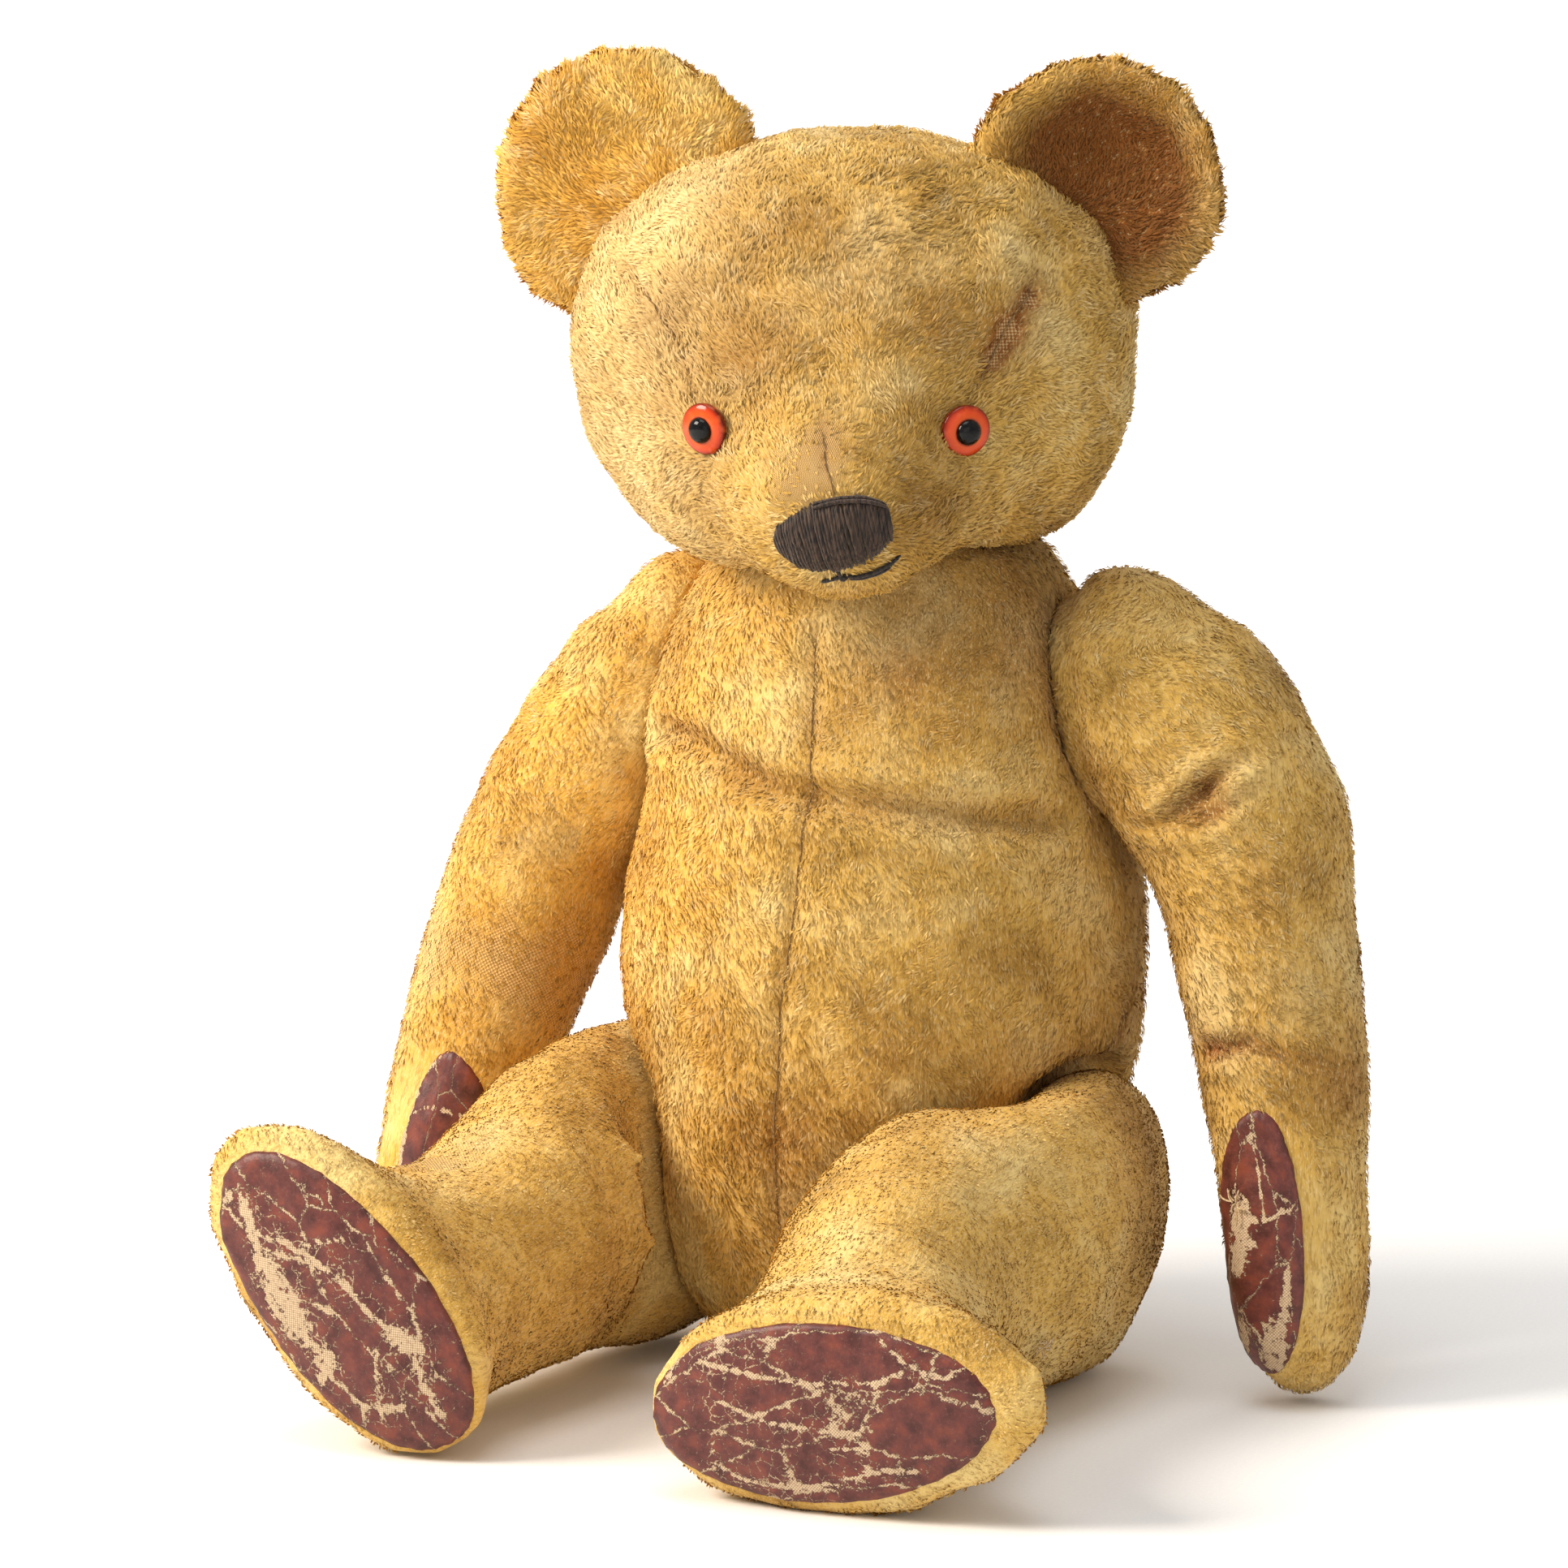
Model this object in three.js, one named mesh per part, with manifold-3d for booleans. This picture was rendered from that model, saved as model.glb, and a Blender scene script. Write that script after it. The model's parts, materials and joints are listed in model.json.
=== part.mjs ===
// A worn, disc-jointed teddy bear, sitting. Millimetres, +Z up, face and feet towards -Y, the bear's own left
// towards +X. The origin is on the ground under the middle of the seat.
//
// The bear is built as a sewn toy is: a torso, a head, two arms and two legs, each a cloth cover packed with
// stuffing. Every limb and the head turn on a disc joint: a split pin through both covers holds a disc and a
// washer inside each part. Paw and foot pads are let into their covers, and the ears, eyes, nose and mouth are
// sewn or pressed on to the head.
import * as THREE from 'three';
import { mergeVertices } from 'three/addons/utils/BufferGeometryUtils.js';
import Module from 'manifold-3d';

const wasm = await Module();
wasm.setup();

// ---- driving dimensions -------------------------------------------------------------------------------------

const CLOTH = 1.8; // thickness of a cover, backing and matted pile together
const GAP = 0.3; // running gap between neighbouring pieces
const ROOM = 2 * GAP; // room round a piece in the stuffing
const REST_GAP = 1.2; // gap between the belly and the thighs that lie against it
const REACH = 300; // longer than any piece, for a cut that runs right through

// a joint: where the two parts meet, the way from the torso to the part, the disc's radius, and how wide the
// torso and the part are flat round it
const NECK = { at: [0, -2, 248], out: [0, 0, 1], disc: 26, torsoFlat: 70, partFlat: 68 };
const SHOULDER = { across: 62, height: 200, rise: 12, disc: 18, torsoFlat: 54, partFlat: 60 };
const HIP = { across: 51, forward: -12, height: 47, fall: 6, disc: 26, torsoFlat: 55, partFlat: 68 };

const TORSO_TOP = 250;
const HEAD = { centre: [-5, -12, 299.5], turn: 16, nod: 24, back: -62, front: 98 };
const EAR = { forward: -12, up: 50, radius: 41, thick: 12, lean: 18 };
const EAR_SET = { left: { out: 70, cup: 13 }, right: { out: 65, cup: 4 } };
const EYE = { left: 37.5, up: 9, way: [0.5, 0.84, 0.2], sunk: 1.5, radius: 7.5, pupil: 3.7 };
const EYE_STEM = { radius: 1.6, long: 8 };
const NOSE = { left: 3, up: -6, wide: 34, tall: 19, tilt: 10, thick: 2.4 };
const MOUTH = { below: 2.5, tilt: 5, thick: 1.3 };

const DISC_THICK = 3;
const WASHER = { radius: 8, thick: 1 };
const PIN = { radius: 1.5, eye: 3.2, curl: 2.8 };
const PIN_HOLE = PIN.radius + GAP;

const FOOT_PAD = { long: 50, wide: 24, inset: 5, deep: 9 };
const PAW_PAD = { long: 39, wide: 15, up: 48, inward: { left: 0.3, right: 0.9 } };

const COLOURS = {
  plush: [0xd9a94e, 1],
  stuffing: [0xc9b58a, 1],
  card: [0x9a7b52, 0.9],
  steel: [0x8d8a84, 0.45],
  oilcloth: [0x5c2a22, 0.5],
  thread: [0x3c2a22, 0.8],
  amber: [0xd8401c, 0.15],
  black: [0x0c0c0d, 0.1],
};

// ---- small helpers ------------------------------------------------------------------------------------------

const vec = (p) => new THREE.Vector3(...p);
const degrees = THREE.MathUtils.degToRad;
const UP = [0, 0, 1];

/** A point that lies a distance along a direction from another. */
const along = (at, out, distance) => vec(at).addScaledVector(vec(out).normalize(), distance).toArray();

/** The opposite direction. */
const back = (out) => vec(out).negate().toArray();

/** The smooth values at s of a table of rows [s, value, value, ...], one for each column. */
function smoothRow(rows, s) {
  const last = rows.length - 1;
  let k = 0;
  while (k < last - 1 && s > rows[k + 1][0]) k += 1;
  const span = rows[k + 1][0] - rows[k][0];
  const t = THREE.MathUtils.clamp((s - rows[k][0]) / span, 0, 1);
  const before = rows[Math.max(k - 1, 0)];
  const after = rows[Math.min(k + 2, last)];
  return rows[k].slice(1).map((value, column) => {
    const end = rows[k + 1][column + 1];
    const slopeIn = ((end - before[column + 1]) / (rows[k + 1][0] - before[0])) * span;
    const slopeOut = ((after[column + 1] - value) / (after[0] - rows[k][0])) * span;
    const bend = (1 - t) * slopeIn - t * slopeOut + (2 * t - 1) * (end - value);
    return value + t * (end - value) + t * (1 - t) * bend;
  });
}

/** How full a section is at s: a quarter ellipse over each end's share of the length, and 1 between. */
function endFullness(s, [start, finish]) {
  let full = 1;
  if (s < start) full *= Math.sqrt(1 - (1 - s / start) ** 2);
  if (1 - s < finish) full *= Math.sqrt(1 - (1 - (1 - s) / finish) ** 2);
  return full;
}

/** The places of the rings along a form: close together over each rounded end, even between them. */
function ringPlaces([start, finish], between) {
  const round = [25, 55].map((angle) => 1 - Math.cos(degrees(angle)));
  const places = start > 0 ? round.map((share) => share * start) : [];
  for (let k = 0; k <= between; k += 1) places.push(start + ((1 - finish - start) * k) / between);
  if (finish > 0) places.push(...round.map((share) => 1 - share * finish).reverse());
  return places;
}

// ---- solids -------------------------------------------------------------------------------------------------

/** A closed three.js geometry as a solid that can be cut and joined. */
function solid(geometry) {
  const bare = geometry.clone();
  bare.deleteAttribute('normal');
  bare.deleteAttribute('uv');
  const merged = mergeVertices(bare, 1e-4);
  const corners = merged.index.array;
  const kept = [];
  for (let k = 0; k < corners.length; k += 3) {
    const [a, b, c] = corners.slice(k, k + 3);
    if (a !== b && b !== c && c !== a) kept.push(a, b, c);
  }
  return new wasm.Manifold(new wasm.Mesh({
    numProp: 3,
    vertProperties: Float32Array.from(merged.attributes.position.array),
    triVerts: Uint32Array.from(kept),
  }));
}

/** A solid's own triangles as a geometry. */
function geometryOf(body) {
  const mesh = body.getMesh();
  const geometry = new THREE.BufferGeometry();
  geometry.setAttribute('position', new THREE.BufferAttribute(Float32Array.from(mesh.vertProperties), 3));
  geometry.setIndex(Array.from(mesh.triVerts));
  return geometry.toNonIndexed();
}

/** The matrix that stands a shape made round +Y on the point at, with +Y along out and +X towards side. */
function stand(at, out, side = [1, 0.3, 0.2]) {
  const y = vec(out).normalize();
  const x = vec(side).addScaledVector(y, -vec(side).dot(y)).normalize();
  const z = new THREE.Vector3().crossVectors(x, y);
  return new THREE.Matrix4().makeBasis(x, y, z).setPosition(...at);
}

/** A turned solid: profile points [radius, height] run round the axis out of the point at. */
function turned(profile, at, out, segments = 14) {
  const points = profile.map(([radius, height]) => new THREE.Vector2(radius, height));
  return solid(new THREE.LatheGeometry(points, segments).applyMatrix4(stand(at, out)));
}

/** A plain round bar from the point at, along out. */
function bar(radius, length, at, out, segments = 14) {
  return turned([[0, 0], [radius, 0], [radius, length], [0, length]], at, out, segments);
}

/** A flat ring, its low face on the point at. */
function ring(hole, radius, thick, at, out, segments) {
  return turned([[hole, 0], [radius, 0], [radius, thick], [hole, thick], [hole, 0]], at, out, segments);
}

/** A straight bar of oval section from the point at, along out, its longer half width towards side. */
function ovalBar({ at, out, side, long, wide, length }, grow = 0) {
  const shape = new THREE.CylinderGeometry(1, 1, length, 14).translate(0, length / 2, 0);
  shape.scale(long + grow, 1, wide + grow);
  return solid(shape.applyMatrix4(stand(at, out, side)));
}

/** Gives a geometry vertex normals in which each face round a corner counts alike, however small it is. */
function setEvenNormals(geometry) {
  const { position } = geometry.attributes;
  const normals = new Float32Array(position.count * 3);
  for (let k = 0; k < geometry.index.count; k += 3) {
    const corners = [k, k + 1, k + 2].map((place) => geometry.index.getX(place));
    const triangle = new THREE.Triangle().setFromAttributeAndIndices(position, ...corners);
    const normal = triangle.getNormal(new THREE.Vector3()).toArray();
    for (const corner of corners) normal.forEach((part, axis) => { normals[3 * corner + axis] += part; });
  }
  geometry.setAttribute('normal', new THREE.BufferAttribute(normals, 3));
  geometry.normalizeNormals();
}

/**
 * A sewn and stuffed form. Its sections are ovals round a curved spine: each row gives, at a share s of the
 * spine, the half width, the half depth, the turn round the spine in degrees and the shift along the width. A
 * taper makes them deeper on the width's side and shallower on the other.
 */
function stuffedForm({ spine, width, rows, ends, between, sides = 12, square = 2, taper = 0, fixed = false }) {
  const curve = new THREE.CatmullRomCurve3(spine.map(vec), false, 'centripetal');
  const straight = vec(spine[spine.length - 1]).sub(vec(spine[0])).normalize();
  const places = ringPlaces(ends, between);
  const points = [];
  const sectionAt = (s) => {
    const [half, deep, turn, shift] = smoothRow(rows, s);
    const tangent = fixed ? straight.clone() : curve.getTangentAt(s);
    const across = vec(width).addScaledVector(tangent, -vec(width).dot(tangent)).normalize();
    across.applyAxisAngle(tangent, degrees(turn));
    const depth = new THREE.Vector3().crossVectors(tangent, across);
    return { half, deep, across, depth, centre: curve.getPointAt(s).addScaledVector(across, shift) };
  };
  const blunt = (value) => Math.sign(value) * Math.abs(value) ** (2 / square);
  points.push(...sectionAt(0).centre);
  for (const s of places) {
    const { half, deep, across, depth, centre } = sectionAt(s);
    const full = endFullness(s, ends);
    for (let k = 0; k < sides; k += 1) {
      const angle = (2 * Math.PI * (k + 0.5)) / sides;
      const point = centre.clone().addScaledVector(across, half * full * blunt(Math.cos(angle)));
      const broad = deep * (1 + taper * Math.cos(angle));
      points.push(...point.addScaledVector(depth, broad * full * blunt(Math.sin(angle))));
    }
  }
  points.push(...sectionAt(1).centre);
  const index = [];
  const last = places.length * sides + 1;
  for (let k = 0; k < sides; k += 1) {
    const next = (k + 1) % sides;
    index.push(0, 1 + next, 1 + k, last, last - sides + k, last - sides + next);
    for (let row = 0; row < places.length - 1; row += 1) {
      const low = 1 + row * sides;
      const high = low + sides;
      index.push(low + k, low + next, high + next, low + k, high + next, high + k);
    }
  }
  const geometry = new THREE.BufferGeometry();
  geometry.setAttribute('position', new THREE.Float32BufferAttribute(points, 3));
  geometry.setIndex(index);
  setEvenNormals(geometry);
  return geometry;
}

/** A form grown by a distance along its surface normals, or shrunk by a negative one, as a solid. */
function grown(form, distance) {
  const geometry = form.clone();
  const { position, normal } = geometry.attributes;
  const point = new THREE.Vector3();
  const way = new THREE.Vector3();
  for (let k = 0; k < position.count; k += 1) {
    point.fromBufferAttribute(position, k).addScaledVector(way.fromBufferAttribute(normal, k), distance);
    position.setXYZ(k, point.x, point.y, point.z);
  }
  return solid(geometry);
}

/** A form grown by a distance, with its flats moved by the same distance and its neighbour kept as far away. */
function trimmed(form, distance, flats, beside) {
  let body = grown(form, distance);
  for (const { at, out, flat } of flats) {
    body = body.subtract(bar(flat - distance, REACH, along(at, out, distance), out, 16));
  }
  return beside ? body.subtract(beside(REST_GAP - distance)) : body;
}

// ---- disc joints --------------------------------------------------------------------------------------------

// heights above the meeting plane of two parts, the same on both sides of it
const CLOTH_FROM = GAP / 2;
const DISC_FROM = CLOTH_FROM + CLOTH + GAP;
const WASHER_FROM = DISC_FROM + DISC_THICK + GAP;
const PIN_FROM = WASHER_FROM + WASHER.thick + GAP;
const POCKET_DEEP = PIN_FROM + 2 * (PIN.eye + PIN.radius) + GAP;

/** The shoulder of a side: +1 for the bear's left and -1 for its right. */
function shoulderOf(side) {
  const { across, height, rise, ...rest } = SHOULDER;
  const out = [side * Math.cos(degrees(rise)), 0, Math.sin(degrees(rise))];
  return { ...rest, at: [side * across, 0, height], out };
}

/** The hip of a side. */
function hipOf(side) {
  const { across, forward, height, fall, ...rest } = HIP;
  const out = [side * Math.cos(degrees(fall)), 0, -Math.sin(degrees(fall))];
  return { ...rest, at: [side * across, forward, height], out };
}

/** The room in the stuffing for one side's disc, washer and pin end. */
function pocket(at, out, disc) {
  const wide = disc + ROOM;
  const narrow = WASHER.radius + ROOM;
  const discRoom = [[0, 0], [wide, 0], [wide, WASHER_FROM]];
  const pinRoom = [[narrow, WASHER_FROM], [narrow, POCKET_DEEP], [0, POCKET_DEEP]];
  return turned([...discRoom, ...pinRoom], at, out);
}

/** The split pin: a shank through both covers, its loop in the limb and its two curled legs in the torso. */
function splitPin({ at, out }) {
  const loopAt = PIN_FROM + PIN.eye + PIN.radius;
  const curlAt = PIN_FROM + PIN.curl + PIN.radius;
  const bent = (radius, x, y) => solid(
    new THREE.TorusGeometry(radius, PIN.radius, 4, 6).translate(x, y, 0).applyMatrix4(stand(at, out)),
  );
  const shankLow = PIN.curl - curlAt;
  const shankHigh = loopAt - PIN.eye;
  return bar(PIN.radius, shankHigh - shankLow, along(at, out, shankLow), out, 6)
    .add(bent(PIN.eye, 0, loopAt))
    .add(bent(PIN.curl, PIN.curl, -curlAt))
    .add(bent(PIN.curl, -PIN.curl, -curlAt));
}

/** The hardware of a joint: a disc and a washer in each part, and the pin through them. */
function jointHardware(name, joint) {
  const { at, out, disc } = joint;
  const plate = (way) => ring(PIN_HOLE, disc, DISC_THICK, along(at, way, DISC_FROM), way, 14);
  const washer = (way) => ring(PIN_HOLE, WASHER.radius, WASHER.thick, along(at, way, WASHER_FROM), way, 10);
  return [
    [`${name}_outer_disc`, plate(out), 'card'],
    [`${name}_torso_disc`, plate(back(out)), 'card'],
    [`${name}_outer_washer`, washer(out), 'steel'],
    [`${name}_torso_washer`, washer(back(out)), 'steel'],
    [`${name}_split_pin`, splitPin(joint), 'steel'],
  ];
}

/**
 * A stuffed part: its shell of cloth and its filling. A joint's way out points away from this part. Flats are
 * the other flats pressed into it, and beside gives the neighbour that it lies against, grown by a distance.
 */
function stuffedPart({ form, joints, flats = [], beside }) {
  const meeting = joints.map((joint) => ({ ...joint, at: along(joint.at, joint.out, -CLOTH_FROM) }));
  const pressed = [...meeting, ...flats];
  let cover = trimmed(form, 0, pressed, beside).subtract(trimmed(form, -CLOTH, pressed, beside));
  let filling = trimmed(form, -CLOTH - ROOM, pressed, beside);
  for (const { at, out, disc } of joints) {
    cover = cover.subtract(bar(PIN_HOLE, 12, along(at, out, 6), back(out), 8));
    filling = filling.subtract(pocket(at, back(out), disc));
  }
  return { cover, filling };
}

/** A joint as the torso has it, and as the part on its other side has it. */
const torsoEnd = (joint) => ({ ...joint, flat: joint.torsoFlat });
const partEnd = (joint) => ({ ...joint, out: back(joint.out), flat: joint.partFlat });

/** Cuts an oval out of a cover and gives both: the cover with the opening, and the pad that fills it. */
function inlaid(cover, oval) {
  return { cover: cover.subtract(ovalBar(oval, GAP)), pad: cover.intersect(ovalBar(oval)) };
}

// ---- torso --------------------------------------------------------------------------------------------------

const GROUND = { at: [0, 0, 0], out: [0, 0, -1], flat: 400 };

const torsoForm = stuffedForm({
  spine: [[0, -1, 0], [0, -1, TORSO_TOP / 2], [0, -1, TORSO_TOP]],
  width: [1, 0, 0],
  fixed: true,
  sides: 16,
  between: 9,
  ends: [0, 0],
  rows: [
    [0, 48, 48, 0, 0], [0.1, 68, 64, 0, 0], [0.2, 75, 70, 0, 0], [0.4, 79, 73, 0, 0], [0.58, 78, 71, 0, 0],
    [0.7, 73.5, 67, 0, 0], [0.8, 72, 62, 0, 0], [0.9, 66, 56, 0, 0], [1, 47, 44, 0, 0],
  ],
});

const torsoJoints = [NECK, shoulderOf(1), shoulderOf(-1), hipOf(1), hipOf(-1)].map(torsoEnd);
const torso = stuffedPart({ form: torsoForm, joints: torsoJoints, flats: [GROUND] });

/** The torso grown by a distance, for a part to lie against; its flats stay in line with that part's own. */
function besideTorso(distance) {
  const recess = CLOTH_FROM - REST_GAP;
  const flats = torsoJoints.map((joint) => ({ ...joint, at: along(joint.at, joint.out, recess) }));
  return trimmed(torsoForm, distance, flats);
}

// ---- head ---------------------------------------------------------------------------------------------------

const headTurn = new THREE.Matrix4().makeRotationZ(degrees(HEAD.turn));
headTurn.multiply(new THREE.Matrix4().makeRotationX(degrees(HEAD.nod)));
const headPlace = new THREE.Matrix4().makeTranslation(...HEAD.centre).multiply(headTurn);

/** A point given from the middle of the head: to its left, forwards and up. */
const headPoint = (left, forward, up) => vec([left, -forward, up]).applyMatrix4(headPlace).toArray();

/** A direction given the same way. */
const headWay = (left, forward, up) => vec([left, -forward, up]).transformDirection(headTurn).toArray();

/** The head's own axes as a matrix: +X to its left, +Y upwards, leaning back by an angle, and +Z forwards. */
function headFrame(at, lean = 0) {
  const [sine, cosine] = [Math.sin(degrees(lean)), Math.cos(degrees(lean))];
  const axes = [headWay(1, 0, 0), headWay(0, -sine, cosine), headWay(0, cosine, sine)].map(vec);
  return new THREE.Matrix4().makeBasis(...axes).setPosition(...at);
}

const headForm = stuffedForm({
  spine: [HEAD.back, (HEAD.back + HEAD.front) / 2, HEAD.front].map((forward) => headPoint(0, forward, 0)),
  width: headWay(0, 0, 1),
  fixed: true,
  sides: 16,
  between: 6,
  ends: [0.36, 0.1],
  square: 2.1,
  taper: 0.07,
  rows: [
    [0, 70, 84, 0, 0], [0.36, 70, 84.5, 0, 0], [0.5, 68, 83, 0, -1], [0.6, 61, 76, 0, -2],
    [0.68, 51, 62, 0, -4], [0.76, 38, 44, 0, -7], [0.84, 28, 33, 0, -9], [0.92, 22, 28, 0, -11],
    [1, 18, 24, 0, -11],
  ],
});

/** The point of the head's surface straight in front of a place in the face. */
function facePoint(left, up) {
  const mesh = new THREE.Mesh(headForm);
  const ray = new THREE.Raycaster(vec(headPoint(left, REACH, up)), vec(headWay(0, -1, 0)));
  return ray.intersectObject(mesh)[0].point.toArray();
}

const headParts = stuffedPart({ form: headForm, joints: [partEnd(NECK)] });
const headBody = grown(headForm, GAP);

/** An ear: a padded dish, hollow towards the front by the depth cup, with its lower edge shaped to the head. */
function ear(side, { out, cup }) {
  const { forward, up, radius, thick, lean } = EAR;
  const shape = new THREE.SphereGeometry(1, 14, 9);
  const { position } = shape.attributes;
  for (let k = 0; k < position.count; k += 1) {
    const [x, y, z] = [position.getX(k), position.getY(k), position.getZ(k)];
    const skin = (Math.sign(z) * Math.abs(z) ** 0.7 * thick) / 2;
    position.setXYZ(k, x * radius, y * radius, skin + cup * ((side * x + y) / Math.SQRT2) ** 2);
  }
  const place = headFrame(headPoint(side * out, forward, up), lean);
  return solid(shape.applyMatrix4(place)).subtract(headBody);
}

/** An eye: its iris dish, its pupil with the stem that passes through, and the lock washer behind the cloth. */
function eye(side) {
  const { left, up, way, sunk, radius, pupil } = EYE;
  const { radius: stem, long } = EYE_STEM;
  const out = headWay(side * way[0], way[1], way[2]);
  const seat = along(facePoint(side * left, up), out, -sunk);
  const hole = stem + GAP;
  const dish = [[hole, 0], [radius, 0], [radius, 1.2], [pupil + 1, 2.2], [hole, 2.2], [hole, 0]];
  const dome = [[0, -long], [stem, -long], [stem, 2.8], [pupil, 2.8], [pupil, 3.4], [pupil / 2, 4.7], [0, 5]];
  return {
    out,
    seat,
    hole,
    iris: turned(dish, along(seat, out, GAP), out, 16),
    pupil: turned(dome, seat, out, 12),
    washer: ring(hole, radius - 0.5, 1, along(seat, out, -CLOTH - 1.5), out, 12),
  };
}

/** A piece stitched on the front of the face: an outline seen from the front, raised from the cloth. */
function stitched(outline, tilt, left, up, thick) {
  const shape = new THREE.Shape(outline.map(([x, y]) => new THREE.Vector2(x, y)));
  const prism = new THREE.ExtrudeGeometry(shape, { depth: HEAD.front, bevelEnabled: false });
  const place = headFrame(headPoint(left, HEAD.front / 2, up));
  const cut = solid(prism.rotateZ(degrees(tilt)).applyMatrix4(place));
  return grown(headForm, thick).subtract(headBody).intersect(cut);
}

/** The nose's outline: a rounded shield, fuller above than below. */
function noseOutline() {
  const steps = 14;
  return Array.from({ length: steps }, (_, k) => {
    const angle = (2 * Math.PI * k) / steps;
    const across = (NOSE.wide / 2) * Math.cos(angle) * (Math.sin(angle) > 0 ? 1 : 0.92);
    return [across, (NOSE.tall / 2) * Math.sign(Math.sin(angle)) * Math.abs(Math.sin(angle)) ** 0.85];
  });
}

// the mouth's long stitch to the bear's left, its short one to the right, and the stitch up to the nose
const MOUTH_OUTLINE = [
  [-5, -5.6], [0, -3.8], [0.2, -2.4], [2, -2.4], [2.4, -3.6], [9, -3.4], [16, -0.6], [15.4, 0.6], [9, -1.8],
  [2.4, -2], [2, 1], [0, 1], [0, -2.2], [-5, -4.2],
];

const nose = stitched(noseOutline(), NOSE.tilt, NOSE.left, NOSE.up, NOSE.thick);
const mouthUp = NOSE.up - NOSE.tall / 2 - MOUTH.below;
const mouth = stitched(MOUTH_OUTLINE, MOUTH.tilt, NOSE.left, mouthUp, MOUTH.thick);

const eyes = { left: eye(1), right: eye(-1) };
for (const { out, seat, hole } of Object.values(eyes)) {
  const wide = EYE.radius + GAP;
  const within = (radius, depth) => bar(radius, REACH / 10, along(seat, out, -depth), out, 16);
  const socket = within(wide, 0);
  const lining = grown(headForm, 0).intersect(within(wide + CLOTH, CLOTH)).subtract(socket);
  const stemHole = bar(hole, REACH / 10, along(seat, out, 5), back(out), 8);
  const washerRoom = bar(EYE.radius, EYE_STEM.long + 4, along(seat, out, 2), back(out), 12);
  headParts.cover = headParts.cover.subtract(socket).add(lining).subtract(stemHole);
  headParts.filling = headParts.filling.subtract(within(wide + CLOTH + GAP, CLOTH + GAP)).subtract(washerRoom);
}

// ---- arms ---------------------------------------------------------------------------------------------------

const ARM = {
  width: [0, -1, 0],
  between: 8,
  ends: [0.17, 0.12],
  square: 2.1,
};
const ARM_LAYS = {
  left: {
    spine: [
      [76, 0, 238], [75, 0, 212], [93, -1, 190], [111, -3, 170], [118, -5, 150], [122, -7, 132], [127, -11, 108],
      [131, -14, 85], [136, -19, 45], [140, -22, 0.5],
    ],
    rows: [
      [0, 33, 33, 0, 0], [0.12, 34, 31, 0, 0], [0.21, 35, 35, 0, 0], [0.33, 33, 32, 0, 0], [0.42, 31, 28, 0, 0],
      [0.5, 30, 26.5, 0, 0], [0.6, 28, 25, 0, 0], [0.75, 25, 22, 0, 0], [0.88, 24, 20, 0, 0], [1, 22, 19, 0, 0],
    ],
  },
  right: {
    spine: [
      [-60, 0, 238], [-63, 0, 212], [-79, 0, 190], [-97, -1, 168], [-109, -2, 148], [-114, -4, 130],
      [-121, -7, 112], [-126, -9, 95], [-133, -15, 68], [-139, -23, 35], [-141, -28, 1],
    ],
    rows: [
      [0, 33, 28, 0, 0], [0.12, 34, 27, 0, 0], [0.21, 35, 31, 0, 0], [0.33, 33, 27.5, 0, 0], [0.42, 31, 27, 0, 0],
      [0.5, 30, 28, 0, 0], [0.58, 28, 26.5, 0, 0], [0.65, 27, 25, 0, 0], [0.76, 25, 22, 0, 0],
      [0.88, 24, 20, 0, 0], [1, 22, 19, 0, 0],
    ],
  },
};

/** An arm with its paw pad let into the palm. */
function arm(side, lay, inward) {
  const { spine } = lay;
  const form = stuffedForm({ ...ARM, ...lay });
  const { cover, filling } = stuffedPart({
    form,
    joints: [partEnd(shoulderOf(side))],
    flats: [GROUND],
  });
  const [x, y] = spine[spine.length - 2];
  const palm = { at: [x, y, PAW_PAD.up], out: [-side * inward, -1, 0], side: UP, length: REACH };
  return { filling, ...inlaid(cover, { ...palm, long: PAW_PAD.long, wide: PAW_PAD.wide }) };
}

// ---- legs ---------------------------------------------------------------------------------------------------

const LEG = { width: [0, 0, 1], between: 6, ends: [0.2, 0.04], square: 2.1 };
const LEG_LAYS = {
  left: {
    toe: 84,
    spine: [[63, 36, 46], [66, -12, 46], [48, -77, 47], [46, -115, 41], [49, -160, 31], [49, -209, 27]],
    rows: [
      [0, 46, 26, -6, 0], [0.2, 50, 27, -6, 0], [0.37, 47, 42, -18, 0], [0.52, 44, 42, -34, 0],
      [0.68, 39, 34, -58, 2], [0.84, 43, 30, -76, 8], [0.93, 57, 30, -82, 17], [1, 60, 28, -84, 15],
    ],
  },
  right: {
    toe: -41,
    spine: [[-63, 36, 49], [-66, -12, 51], [-72, -70, 50], [-78, -110, 43], [-81, -150, 37], [-80, -194, 35]],
    rows: [
      [0, 49, 26, 6, 0], [0.2, 52, 28, 6, 0], [0.37, 50, 38, 10, 0], [0.52, 45, 36, 18, 0],
      [0.68, 38, 32, 28, 0], [0.84, 41, 29, 37, 6], [0.93, 52, 29, 40, 14], [1, 57, 28, 41, 16],
    ],
  },
};

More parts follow.
